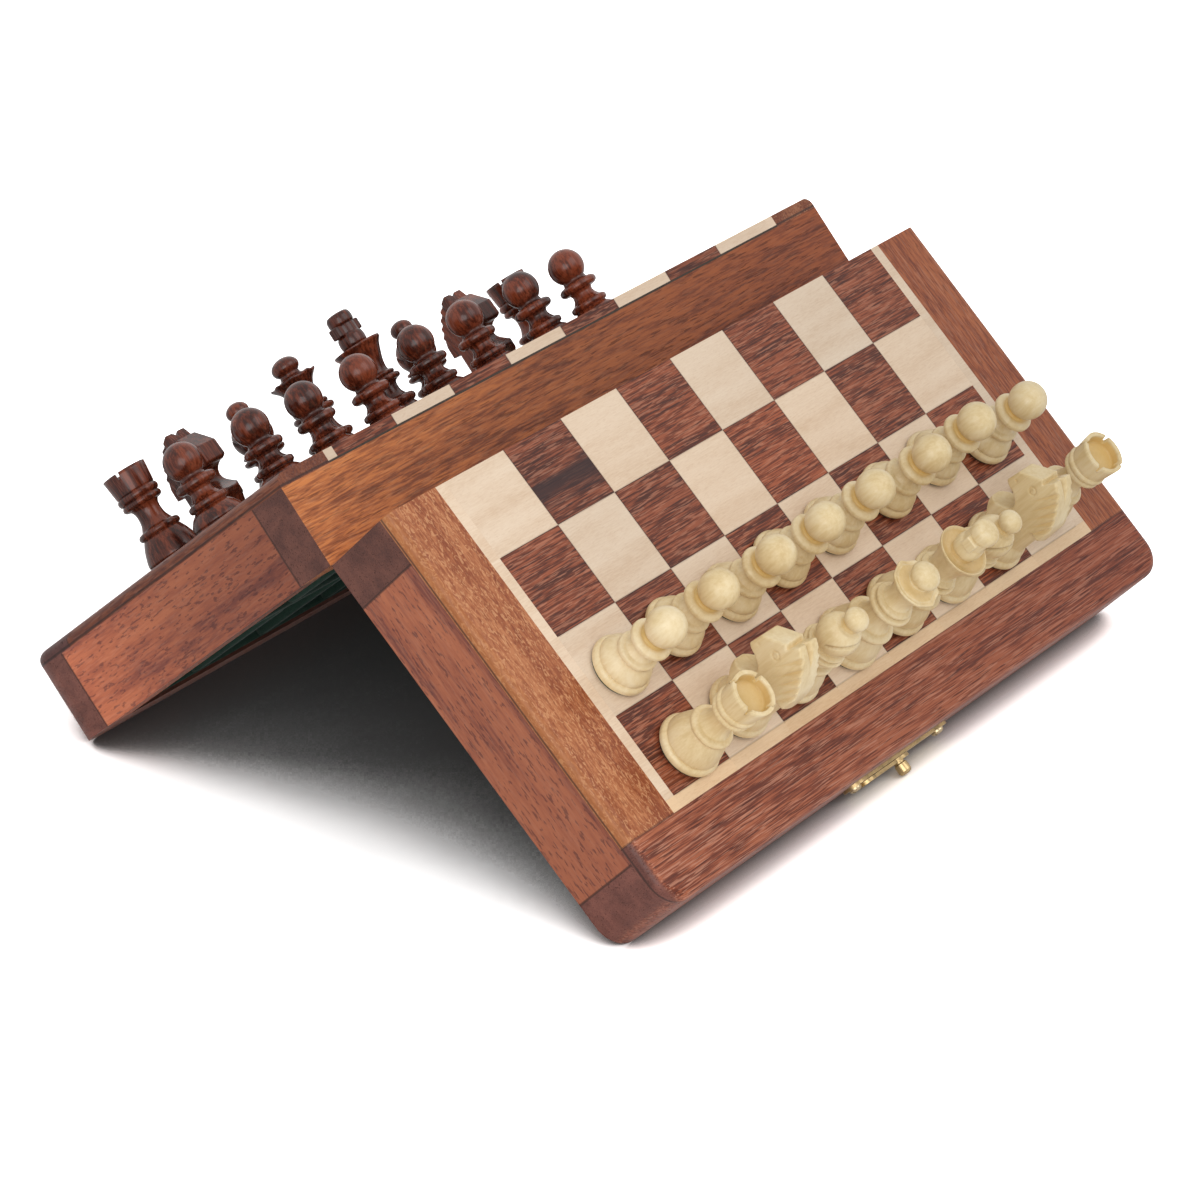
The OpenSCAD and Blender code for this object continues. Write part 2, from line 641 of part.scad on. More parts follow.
module far_steel_sheet() { color("#5c5f5c") far() steel_sheet_flat(); }
module near_backing_board() { color("#c79c6c") near() backing_board_flat(); }
module far_backing_board() { color("#c79c6c") far() backing_board_flat(); }
module near_felt_lining() { color("#1f5a40") near() felt_lining_flat(); }
module far_felt_lining() { color("#1f5a40") far() felt_lining_flat(); }
module near_hinge_leaves() { color("#c2a25a") near() hinge_leaves_flat(false); }
module far_hinge_leaves() { color("#c2a25a") far() hinge_leaves_flat(true); }
module hinge_pins() {
    color("#b39450") near() for (sx = [-1, 1]) translate([sx * hinge_x, 0, 0])
        rotate([0, 90, 0]) cylinder(r = pin_r, h = hinge_len, center = true);
}
module near_screws() {
    color("#d0b26a") near() {
        hinge_screws_flat();
        for (sx = [-1, 1]) on_front(latch_z) translate([sx * latch_screw_x, 0, plate_t])
            pan_screw(screw_len);
    }
}
module far_screws() {
    color("#d0b26a") far() {
        hinge_screws_flat();
        for (sx = [-1, 1]) on_front(stud_z) translate([sx * catch_screw_x, 0, plate_t])
            rotate([180, 0, 0]) sunk_screw(screw_len);
    }
}
module latch_plate() { color("#c2a25a") near() on_front(latch_z) latch_plate_flat(); }
module latch_hook() { color("#d0b26a") near() on_front(latch_z) latch_hook_flat(); }
module latch_knob() { color("#d0b26a") near() on_front(latch_z) latch_knob_flat(); }
module catch_plate() { color("#c2a25a") far() on_front(stud_z) catch_plate_flat(); }

near_hinge_wall();
near_front_wall();
near_end_walls();
near_border_rails();
near_light_inlay();
near_dark_squares();
near_steel_sheet();
near_backing_board();
near_felt_lining();
near_hinge_leaves();
near_screws();
far_hinge_wall();
far_front_wall();
far_end_walls();
far_border_rails();
far_light_inlay();
far_dark_squares();
far_steel_sheet();
far_backing_board();
far_felt_lining();
far_hinge_leaves();
far_screws();
hinge_pins();
latch_plate();
latch_hook();
latch_knob();
catch_plate();
for (c = [0:7]) {
    light_man(c);
    light_pawn(c);
    dark_man(c);
    dark_pawn(c);
}
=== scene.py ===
import math

import bmesh
import bpy
import numpy as np
from mathutils import Matrix, Vector


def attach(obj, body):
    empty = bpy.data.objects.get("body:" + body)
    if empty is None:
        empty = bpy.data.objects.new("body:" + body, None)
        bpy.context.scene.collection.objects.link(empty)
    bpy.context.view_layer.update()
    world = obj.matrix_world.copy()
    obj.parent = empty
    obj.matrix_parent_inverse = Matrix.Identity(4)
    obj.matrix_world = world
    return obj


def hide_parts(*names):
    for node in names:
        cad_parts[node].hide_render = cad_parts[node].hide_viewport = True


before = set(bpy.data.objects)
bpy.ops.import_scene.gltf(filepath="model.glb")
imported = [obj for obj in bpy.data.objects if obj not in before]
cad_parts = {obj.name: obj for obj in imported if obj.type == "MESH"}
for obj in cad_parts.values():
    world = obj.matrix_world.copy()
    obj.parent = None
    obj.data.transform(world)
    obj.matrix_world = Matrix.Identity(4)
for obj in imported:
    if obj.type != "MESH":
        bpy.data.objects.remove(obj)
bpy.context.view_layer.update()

# Folding chess box standing open like a roof, both sets of men on their squares.
# Everything on a half is worked out flat, in millimetres: x along the box, y from the
# hinge (0) to the front (minus), z from the rims (0) to the board (28.2).
half = {
    "slope": math.radians(42.3),
    "width": 254.0,
    "depth": 126.3,
    "height": 28.2,
    "square": 25.75,
    "sawCut": 0.7,
    "border": 20.2,
    "setBack": 0.15,
    "wallTop": 25.0,
    "hingeWallInside": -14.15,
    "frontWallInside": -110.8,
}
axisZ = half["depth"] * math.sin(half["slope"]) - half["setBack"] * math.cos(half["slope"])
files = "abcdefgh"
backRank = ["rook", "knight", "bishop", "queen", "king", "bishop", "knight", "rook"]


def stand(p, side):
    # flat millimetres to standing metres: turn about the hinge by the slope, lift to the
    # axis, and turn the far half round by 180 degrees
    c, s = math.cos(half["slope"]), math.sin(half["slope"])
    x, y, z = p[:, 0], p[:, 1], p[:, 2]
    out = np.stack([x, y * c - z * s, axisZ + y * s + z * c], 1) / 1000
    if side == "far":
        out[:, :2] *= -1
    return out


# Materials: a wrapped socket for the sums, and one way to add a node

class Wire:
    def __init__(self, finish, socket):
        self.finish, self.socket = finish, socket

    def sum(self, kind, *others, clamp=False):
        return self.finish.add("ShaderNodeMath", {"operation": kind, "use_clamp": clamp},
                               dict(enumerate((self,) + others)))

    def __add__(self, o): return self.sum("ADD", o)
    def __sub__(self, o): return self.sum("SUBTRACT", o)
    def __rsub__(self, o): return self.finish.value(o).sum("SUBTRACT", self)
    def __mul__(self, o): return self.sum("MULTIPLY", o)
    def __truediv__(self, o): return self.sum("DIVIDE", o)
    def __gt__(self, o): return self.sum("GREATER_THAN", o)
    def __lt__(self, o): return self.sum("LESS_THAN", o)
    def __abs__(self): return self.sum("ABSOLUTE")
    def floor(self): return self.sum("FLOOR")
    def fraction(self): return self.sum("FRACT")
    def sin(self): return self.sum("SINE")
    def clamp(self): return self.sum("ADD", 0.0, clamp=True)

    def ease(self, low, high):
        # 0 below low, 1 above high, a smooth S between
        return self.finish.add("ShaderNodeMapRange", {"interpolation_type": "SMOOTHSTEP"},
                               {"Value": self, "From Min": low, "From Max": high})


class Finish:
    def __init__(self, name, **plain):
        self.material = bpy.data.materials.new(name)
        self.material.use_nodes = True
        self.tree = self.material.node_tree
        self.shader = self.tree.nodes["Principled BSDF"]
        for key, value in plain.items():
            self.feed(key, value)

    def feed(self, key, value):
        self.link(self.shader.inputs[key.replace("_", " ")], value)

    def link(self, socket, value):
        if isinstance(value, Wire):
            self.tree.links.new(value.socket, socket)
        elif isinstance(value, (tuple, list)) and len(value) == 3 and socket.type == "RGBA":
            socket.default_value = (*value, 1)
        else:
            socket.default_value = value

    def add(self, kind, settings=None, inputs=None, out=0):
        node = self.tree.nodes.new(kind)
        for key, value in (settings or {}).items():
            if key == "stops":
                ramp = node.color_ramp
                while len(ramp.elements) < len(value):
                    ramp.elements.new(0.5)
                for stop, (at, colour) in zip(ramp.elements, value):
                    stop.position = at
                    stop.color = (*colour, 1)
            else:
                setattr(node, key, value)
        for key, value in (inputs or {}).items():
            self.link(node.inputs[key], value)
        return Wire(self, node.outputs[out])

    def value(self, number):
        node = self.tree.nodes.new("ShaderNodeValue")
        node.outputs[0].default_value = number
        return Wire(self, node.outputs[0])

    def mix(self, factor, a, b, blend="MIX"):
        return self.add("ShaderNodeMix", {"data_type": "RGBA", "blend_type": blend},
                        {0: factor, 6: a, 7: b}, out=2)

    def ramp(self, factor, *stops):
        return self.add("ShaderNodeValToRGB", {"stops": stops}, {"Fac": factor})

    def noise(self, vector, scale=1.0, detail=3.0, rough=0.5, twist=0.0):
        return self.add("ShaderNodeTexNoise", {}, {"Vector": vector, "Scale": scale,
                        "Detail": detail, "Roughness": rough, "Distortion": twist})

    def stretch(self, vector, by, turn=(0, 0, 0), shift=(0, 0, 0)):
        return self.add("ShaderNodeMapping", {}, {"Vector": vector, "Scale": by,
                        "Rotation": turn, "Location": shift})

    def axes(self, vector):
        return [self.add("ShaderNodeSeparateXYZ", {}, {0: vector}, out=k) for k in range(3)]

    def bump(self, height, strength, distance):
        self.feed("Normal", self.add("ShaderNodeBump", {}, {
            "Height": height, "Strength": strength, "Distance": distance}))

    def flat(self, side):
        # the half's own flat frame in millimetres, from Object coordinates: drop to the
        # hinge axis, turn the far half back, then lay the slope flat
        moved = self.placed(shift=(0, 0, -axisZ))
        if side == "far":
            moved = self.stretch(moved, (-1, -1, 1))
        return self.stretch(moved, (1, 1, 1), turn=(-half["slope"], 0, 0))

    def placed(self, shift=(0, 0, 0)):
        here = self.add("ShaderNodeTexCoord", out=3)
        return self.stretch(here, (1000, 1000, 1000), shift=shift)

    def facing(self, k):
        return abs(self.axes(self.add("ShaderNodeTexCoord", out=1))[k])


# Wood in one place: q has x along the grain, in millimetres. Broad bands and waving figure
# lines set the tone and strands break it up; dark pores are cut in, pale flecks lie on top.
plainWood = {"band": (0.013, 0.12, 0.12), "broad": 0.5, "lines": 0.15, "wave": 2.0, "figure": 0.08,
             "strand": (0.12, 1.5, 1.5), "strands": 0.7, "twist": 0.3,
             "pore": (0.25, 1.8, 1.8), "poreDepth": 0.5, "poreColour": (0.09, 0.03, 0.02),
             "fleck": (0.16, 1.7, 1.7), "fleckDepth": 0.3, "fleckColour": (0.5, 0.26, 0.17)}


def grain(f, q, look):
    wide = f.noise(f.stretch(q, look["band"]), 1, 4, 0.55, 0.4).ease(0.32, 0.68)
    bend = f.noise(f.stretch(q, (0.02, 0.045, 0.045), shift=(7, 3, 1)), 1, 2, 0.5)
    y, z = f.axes(q)[1:]
    lines = (((y + z * 0.4) * look["lines"] + bend * look["wave"]) * 6.2832).sin()
    strand = f.noise(f.stretch(q, look["strand"]), 1, 3, 0.6).ease(0.34, 0.66)
    pores = f.noise(f.stretch(q, look["pore"], shift=(3, 9, 2)), 1, 2, 0.5).ease(0.56, 0.66)
    flecks = f.noise(f.stretch(q, look["fleck"], shift=(11, 4, 8)), 1, 2, 0.5, look["twist"])
    flecks = flecks.ease(0.52, 0.64)
    tone = (wide - 0.5) * look["broad"] + lines * look["figure"]
    tone = tone + (strand - 0.5) * look["strands"] + 0.5
    dark, mid, pale = look["colours"]
    colour = f.ramp(tone, (0.0, dark), (0.5, mid), (1.0, pale))
    colour = f.mix(pores * look["poreDepth"], colour, look["poreColour"])
    colour = f.mix(flecks * look["fleckDepth"], colour, look["fleckColour"])
    return {"colour": colour, "fibre": strand, "pores": pores}


def endGrain(f, p, colours):
    # across the cut fibres: rings of slow tone, fine dots, small pores
    slow = f.noise(f.stretch(p, (0.02, 0.10, 0.16)), 1, 4, 0.6, 0.5).ease(0.3, 0.7)
    dots = f.noise(f.stretch(p, (0.5, 1.8, 1.8)), 1, 2, 0.6).ease(0.34, 0.66)
    colour = f.ramp(slow * 0.6 + dots * 0.4, (0.0, colours[0]), (1.0, colours[1]))
    pores = dots.ease(0.8, 1.0)
    return {"colour": f.mix(pores * 0.6, colour, (0.03, 0.012, 0.01)), "fibre": dots, "pores": pores}


def blendWood(f, mask, a, b):
    return {"colour": f.mix(mask, a["colour"], b["colour"]),
            "fibre": a["fibre"] * (1 - mask) + b["fibre"] * mask,
            "pores": a["pores"] * (1 - mask) + b["pores"] * mask}


def jointLine(value, at):
    # 1 on the glue line, 0 half a millimetre from it
    return 1 - abs(value - at).ease(0.15, 0.5)


def darken(f, wood, mask, depth):
    return {**wood, "colour": f.mix(mask.clamp() * depth, wood["colour"], (0.035, 0.014, 0.01))}


def tinted(f, wood, tint):
    return {**wood, "colour": f.mix(1.0, wood["colour"], tint, "MULTIPLY")}


def paintedLightAlongBox(f, x, *stops):
    # painted light and shade: a colour that changes along the box, 0 at its left end and 1 at its right end
    return f.ramp(x / half["width"] + 0.5, *stops)


def lacquer(f, wood, rough=0.38, bump=0.3):
    f.feed("Base Color", wood["colour"])
    f.feed("Roughness", (wood["fibre"] - 0.5) * 0.12 + wood["pores"] * 0.2 + rough)
    f.feed("Specular IOR Level", 0.25)
    f.feed("Coat Weight", 0.03)
    f.feed("Coat Roughness", 0.25)
    f.bump(wood["fibre"] * 0.25 - wood["pores"] * 0.6, bump, 0.00015)
    return f.material


woods = {
    # orange-tan with short wavy pale flecks
    "leftRail": {**plainWood,
                 "colours": [(0.24, 0.058, 0.02), (0.35, 0.108, 0.04), (0.47, 0.18, 0.075)],
                 "broad": 0.7, "figure": 0.12, "lines": 0.12, "wave": 2.6,
                 "strand": (0.3, 1.3, 1.3), "strands": 0.75,
                 "pore": (0.35, 1.7, 1.7), "poreDepth": 0.55, "poreColour": (0.2, 0.05, 0.02),
                 "fleck": (0.5, 1.1, 1.1), "twist": 1.4,
                 "fleckDepth": 0.65, "fleckColour": (0.62, 0.3, 0.14)},
    "rightRail": {**plainWood,
                  "colours": [(0.16, 0.038, 0.016), (0.26, 0.07, 0.026), (0.35, 0.11, 0.042)],
                  "strand": (0.2, 1.4, 1.4), "pore": (0.25, 1.6, 1.6), "fleckDepth": 0.2},
    # red-brown with long thin dark streaks, and pale streaks that are grain with a painted highlight on it
    "frontRail": {**plainWood,
                  "colours": [(0.12, 0.024, 0.01), (0.25, 0.06, 0.025), (0.37, 0.11, 0.05)],
                  "band": (0.012, 0.16, 0.16), "broad": 0.9, "strand": (0.07, 2.1, 2.1), "strands": 1.0,
                  "pore": (0.09, 2.3, 2.3), "poreDepth": 0.75, "poreColour": (0.06, 0.014, 0.01),
                  "fleck": (0.1, 2.5, 2.5), "fleckDepth": 0.65, "fleckColour": (0.54, 0.24, 0.15)},
    # reddish with dark pore strokes and a dusky band
    "endWall": {**plainWood,
                "colours": [(0.17, 0.05, 0.034), (0.31, 0.095, 0.048), (0.39, 0.13, 0.062)],
                "broad": 0.9, "figure": 0.06, "strands": 0.4, "strand": (0.14, 1.2, 1.2),
                "pore": (0.36, 1.5, 1.5), "poreDepth": 0.65, "poreColour": (0.085, 0.03, 0.028),
                "fleckDepth": 0.12},
    # orange to red-brown, many fine dark lines a little off the axis
    "hingeWall": {**plainWood,
                  "colours": [(0.13, 0.032, 0.012), (0.27, 0.08, 0.03), (0.38, 0.125, 0.045)],
                  "lines": 0.55, "wave": 3.4, "figure": 0.13, "broad": 0.55, "strands": 0.7,
                  "pore": (0.14, 1.7, 1.7), "poreDepth": 0.65, "poreColour": (0.09, 0.026, 0.014),
                  "fleckDepth": 0.12},
    "frontWall": {**plainWood,
                  "colours": [(0.12, 0.034, 0.022), (0.23, 0.068, 0.04), (0.33, 0.11, 0.065)],
                  "lines": 0.3, "wave": 2.4, "figure": 0.10, "strand": (0.09, 1.5, 1.5), "fleckDepth": 0.3},
    "darkSquare": {**plainWood,
                   "colours": [(0.075, 0.018, 0.009), (0.185, 0.043, 0.017), (0.31, 0.086, 0.038)],
                   "broad": 0.6, "lines": 0.20, "wave": 1.2, "figure": 0.05,
                   "strand": (0.09, 2.0, 2.0), "strands": 1.1,
                   "pore": (0.11, 2.1, 2.1), "poreDepth": 0.7, "poreColour": (0.05, 0.016, 0.013),
                   "fleck": (0.16, 2.1, 2.1), "fleckDepth": 0.6, "fleckColour": (0.46, 0.19, 0.11)},
    "maple": {**plainWood,
              "colours": [(0.64, 0.465, 0.315), (0.745, 0.585, 0.43), (0.81, 0.665, 0.51)],
              "broad": 0.4, "lines": 0.08, "figure": 0.08, "strand": (0.25, 2.6, 2.6), "strands": 0.28,
              "pore": (0.7, 2.8, 2.8), "poreDepth": 0.14, "poreColour": (0.5, 0.32, 0.2),
              "fleckDepth": 0.08, "fleckColour": (0.86, 0.72, 0.55)},
    "plywood": {**plainWood,
                "colours": [(0.40, 0.23, 0.11), (0.52, 0.33, 0.17), (0.62, 0.42, 0.24)],
                "poreColour": (0.3, 0.16, 0.07), "fleckColour": (0.66, 0.47, 0.28)},
}
endColours = {"hinge": [(0.066, 0.023, 0.018), (0.175, 0.065, 0.045)],
              "front": [(0.09, 0.031, 0.024), (0.245, 0.088, 0.064)]}
alongX, alongY = (0, 0, 0), (0, 0, math.pi / 2)


def wallFinish(name, side, look, along, shift, lean=None):
    # lean's tints are painted light and shade: they change the colour from one end of the wall to the other
    f = Finish(name)
    p = f.flat(side)
    x, y, z = f.axes(p)
    wood = grain(f, f.stretch(p, (1, 1, 1), turn=along, shift=shift), look)
    if lean:
        if along == alongX:
            share = x * lean["way"] / half["width"] + 0.5
        else:
            share = y * -1 / half["depth"]
        wood = tinted(f, wood, f.ramp(share, *zip((0.0, 0.5, 1.0), lean["paintedLightTints"])))
    if along == alongX:
        cut = endColours["hinge" if "hinge" in name else "front"]
        ends = endGrain(f, f.stretch(p, (1, 1, 1), shift=shift), cut)
        wood = blendWood(f, f.facing(0).ease(0.6, 0.85), wood, ends)
    seams = jointLine(y, half["hingeWallInside"]) + jointLine(y, half["frontWallInside"])
    return lacquer(f, darken(f, wood, seams + jointLine(z, half["wallTop"]), 0.75))


def railFinish(name, side, paintedShade):
    # the side rails' grain runs from hinge to front and the front rail's along the box; the far
    # half's rails are darkened all over with painted shade
    f = Finish(name)
    p = f.flat(side)
    x, y, z = f.axes(p)
    kick = 0 if side == "near" else 90
    turned = f.stretch(p, (1, 1, 1), turn=alongY, shift=(kick, 40, 5))
    left, right = (grain(f, turned, woods[look]) for look in ("leftRail", "rightRail"))
    sides = blendWood(f, x > 0, left, right)
    # a painted highlight: the near half's rounded outer edge is lighter and gold
    edgeHighlight = 0.55 if side == "near" else 0.0
    sides["colour"] = f.mix(abs(x).ease(123.6, 126.6) * edgeHighlight, sides["colour"], (0.40, 0.155, 0.05))
    front = grain(f, f.stretch(p, (1, 1, 1), shift=(kick, 10, 0)), woods["frontRail"])
    # painted light and shade: the front rail is lighter at the left end of the box and darker to the right
    front = tinted(f, front, paintedLightAlongBox(f, x, (0.0, (1.02, 1.02, 1.02)), (0.45, (0.85, 0.83, 0.83)),
                                        (1.0, (0.66, 0.54, 0.5))))
    ends = endGrain(f, f.stretch(p, (1, 1, 1), shift=(kick, 0, 0)), endColours["front"])
    front = blendWood(f, f.facing(0).ease(0.3, 0.75), front, ends)
    seam = half["border"] - half["depth"]
    wood = blendWood(f, y < (seam + 0.01), sides, front)
    wood = darken(f, wood, jointLine(z, half["wallTop"]) + jointLine(y, seam) * 0.6, 0.75)
    return lacquer(f, tinted(f, wood, paintedShade))


# one dark square is cut through a nearly black vein; flat millimetres
vein = {"middle": -15.5, "swing": 14, "soft": (1.5, 5.5), "left": -77.2, "right": -51.6, "front": -25.0,
        "depth": 0.9, "colour": (0.03, 0.012, 0.012)}


def squaresFinish(name, side, look, spread, edge):
    # each square has its own tone, by spread, its own piece of grain and a thin joint round
    # it, dark by edge; across and down count squares from the left end and from the hinge
    f = Finish(name)
    p = f.flat(side)
    x, y = f.axes(p)[:2]
    across, down = x / half["square"] + 4, (half["sawCut"] - y) / half["square"]
    cell = f.add("ShaderNodeCombineXYZ", {},
                 {0: across.floor(), 1: down.floor(), 2: 3.0 if side == "near" else 8.0})
    pick = f.add("ShaderNodeTexWhiteNoise", {"noise_dimensions": "3D"}, {"Vector": cell})
    far = f.add("ShaderNodeVectorMath", {"operation": "SCALE"}, {0: cell, "Scale": 37.0})
    moved = f.add("ShaderNodeVectorMath", {"operation": "ADD"}, {0: p, 1: far})
    wood = grain(f, moved, look)
    # painted light and shade: the squares are a little lighter at the left end of the box and darker at the
    # right
    wood = tinted(f, wood, paintedLightAlongBox(f, x, (0.0, (1.03, 1.03, 1.03)), (1.0, (0.87, 0.87, 0.87))))
    wood = tinted(f, wood, f.ramp(pick, (0.0, (1 - spread, 1 - spread * 0.9, 1 - spread * 0.6)),
                                  (1.0, (1 + spread * 0.8, 1 + spread * 0.5, 1 + spread * 0.3))))
    if look is woods["maple"]:
        # the strip in front of the squares is yellower
        strip = tinted(f, wood, (1.02, 0.93, 0.78))
        wood["colour"] = f.mix(down > 4.0, wood["colour"], strip["colour"])
    if look is woods["darkSquare"] and side == "near":
        streak = f.noise(f.stretch(p, (0.03, 0.3, 0.3), shift=(0, 4, 0)), 1, 3, 0.6, 0.6)
        band = 1 - abs(y - vein["middle"] + (streak - 0.5) * vein["swing"]).ease(*vein["soft"])
        here = (x > vein["left"]) * (x < vein["right"]) * (y > vein["front"])
        wood["colour"] = f.mix(band * here * vein["depth"], wood["colour"], vein["colour"])
    cuts = [abs(v.fraction() - 0.5).ease(0.484, 0.497) for v in (across, down)]
    onSquares = (abs(x) < half["square"] * 3.97) * (down < 4.02)
    return lacquer(f, darken(f, wood, (cuts[0] + cuts[1]) * onSquares, edge), 0.36, 0.2)


def polished(name, look, rough, coat):
    # turned boxwood or rosewood: grain up the piece, painted shade in its hollows, and
    # painted shade toward the right end of the box
    f = Finish(name)
    p = f.flat("near" if "light" in name else "far")
    upright = f.stretch(p, (1, 1, 1), turn=(0, math.pi / 2, 0))
    shade = paintedLightAlongBox(f, f.axes(p)[0], (0.0, (1.07, 1.07, 1.08)), (1.0, (0.85, 0.85, 0.83)))
    wood = tinted(f, grain(f, upright, look), shade)
    hollow = f.add("ShaderNodeAttribute", {"attribute_name": "hollow"}, out=2)
    f.feed("Base Color", f.mix(hollow * look["hollowShadeDepth"], wood["colour"], look["hollowShadeColour"]))
    f.feed("Roughness", (wood["fibre"] - 0.5) * 0.08 + rough)
    f.feed("Specular IOR Level", 0.3)
    f.feed("Coat Weight", coat)
    f.feed("Coat Roughness", 0.12)
    f.bump(wood["fibre"] * 0.2 - wood["pores"] * 0.3, 0.12, 0.00008)
    return f.material


def metal(name, colour, rough, stain):
    f = Finish(name, Metallic=1.0)
    p = f.placed()
    cloud = f.noise(p, 0.35, 4, 0.6)
    scratch = f.noise(f.stretch(p, (0.3, 5, 5)), 1, 2, 0.5)
    f.feed("Base Color", f.mix(cloud.ease(0.45, 0.75) * stain, colour, tuple(c * 0.45 for c in colour)))
    f.feed("Roughness", (scratch - 0.5) * 0.2 + cloud * 0.12 + rough)
    f.bump(scratch, 0.08, 0.00005)
    return f.material


def feltFinish(name, colour):
    f = Finish(name, Sheen_Weight=0.08)
    p = f.placed()
    fuzz = f.noise(p, 2.8, 4, 0.7)
    cloud = f.noise(p, 0.08, 2, 0.5)
    pale = tuple(min(1, c * 1.9 + 0.01) for c in colour)
    f.feed("Base Color", f.mix(fuzz * 0.5 + cloud * 0.4, colour, pale))
    f.feed("Roughness", fuzz * 0.1 + 0.88)
    f.bump(fuzz, 0.5, 0.0003)
    return f.material


print("materials")
finishes = {}
# painted light and shade, as three tints from one end of a wall to the other: from the near half's left,
# and from the hinge
hingePaintedLight = [(1.62, 1.68, 1.3), (0.85, 0.75, 0.6), (0.8, 0.62, 0.5)]
endPaintedLight = {"near": [(1.08, 1.05, 1.05), (0.98, 0.95, 0.95), (0.86, 0.78, 0.8)],
            "far": [(0.62, 0.55, 0.58), (1.0, 0.95, 0.95), (1.75, 1.55, 1.5)]}
for side in ("near", "far"):
    kick = 0 if side == "near" else 400
    lean = {"paintedLightTints": hingePaintedLight, "way": 1 if side == "near" else -1}
    # painted shade on the far half's rails
    paintedShade = (1.0, 1.0, 1.0) if side == "near" else (0.62, 0.62, 0.7)
    for piece, name, look, along, shift, paintedLightTints in (
            ("hinge_wall", "hinge_wall_wood", "hingeWall", alongX, (kick, 5, 0), lean),
            ("front_wall", "front_wall_wood", "frontWall", alongX, (kick, 60, 9), None),
            ("end_walls", "end_wall_wood", "endWall", alongY, (kick + 3, 12, 4), {"paintedLightTints": endPaintedLight[side]}),
            ("backing_board", "plywood", "plywood", alongY, (0, 0, 0), None)):
        finishes[f"{side}_{piece}"] = wallFinish(f"{side}_{name}", side, woods[look], along, shift, paintedLightTints)
    finishes[f"{side}_border_rails"] = railFinish(f"{side}_rail_wood", side, paintedShade)
    for piece, name, look, spread, edge in (
            ("light_inlay", "maple", "maple", 0.06, 0.25),
            ("dark_squares", "dark_square_wood", "darkSquare", 0.2, 0.7)):
        finishes[f"{side}_{piece}"] = squaresFinish(f"{side}_{name}", side, woods[look], spread, edge)
boxwoodLook = {**plainWood,
               "colours": [(0.63, 0.465, 0.23), (0.725, 0.57, 0.32), (0.79, 0.655, 0.42)],
               "broad": 0.6, "strands": 0.3, "strand": (0.1, 1.0, 1.0), "figure": 0.05,
               "poreDepth": 0.05, "poreColour": (0.5, 0.32, 0.14),
               "fleckDepth": 0.08, "fleckColour": (0.8, 0.66, 0.42),
               "hollowShadeDepth": 0.9, "hollowShadeColour": (0.6, 0.38, 0.11)}
rosewoodLook = {**plainWood,
                "colours": [(0.035, 0.007, 0.004), (0.1, 0.018, 0.007), (0.22, 0.046, 0.018)],
                "broad": 1.0, "lines": 0.12, "figure": 0.08, "strand": (0.08, 1.1, 1.1), "strands": 0.7,
                "pore": (0.15, 1.6, 1.6), "poreDepth": 0.3, "poreColour": (0.045, 0.012, 0.008),
                "fleckDepth": 0.1, "fleckColour": (0.33, 0.1, 0.05),
                "hollowShadeDepth": 0.75, "hollowShadeColour": (0.04, 0.009, 0.006)}
lightWood = polished("light_boxwood", boxwoodLook, 0.36, 0.15)
darkWood = polished("dark_rosewood", rosewoodLook, 0.26, 0.16)
brass = metal("latch_brass", (0.55, 0.40, 0.20), 0.24, 0.8)
screwBrass = metal("screw_brass", (0.66, 0.54, 0.34), 0.2, 0.5)
steelSheet = metal("steel_sheet", (0.075, 0.06, 0.05), 0.6, 0.4)
# dark green felt, darkened almost to black as painted shade
greenFeltWithPaintedShade = feltFinish("green_felt", (0.002, 0.022, 0.012))
for name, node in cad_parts.items():
    if name in finishes:
        finish = finishes[name]
    elif "steel" in name:
        finish = steelSheet
    elif "felt" in name:
        finish = greenFeltWithPaintedShade
    elif "screws" in name:
        finish = screwBrass
    elif name.startswith("light_"):
        finish = lightWood
    elif name.startswith("dark_"):
        finish = darkWood
    else:
        finish = brass
    for slot in node.material_slots:
        slot.material = finish


# Surfaces, worked out as whole arrays

def meshPiece(name, points, faces, finish, smooth=True, hollow=None):
    data = bpy.data.meshes.new(name)
    data.from_pydata(points.tolist(), [], [list(map(int, q)) for q in faces])
    if hollow is not None:
        depth = data.attributes.new("hollow", "FLOAT", "POINT")
        depth.data.foreach_set("value", hollow.astype(np.float32))
    tidy = bmesh.new()
    tidy.from_mesh(data)
    bmesh.ops.remove_doubles(tidy, verts=tidy.verts, dist=2e-7)
    bmesh.ops.recalc_face_normals(tidy, faces=tidy.faces)
    tidy.to_mesh(data)
    tidy.free()
    data.materials.append(finish)
    data.polygons.foreach_set("use_smooth", np.full(len(data.polygons), smooth))
    piece = bpy.data.objects.new(name, data)
    bpy.context.scene.collection.objects.link(piece)
    return piece


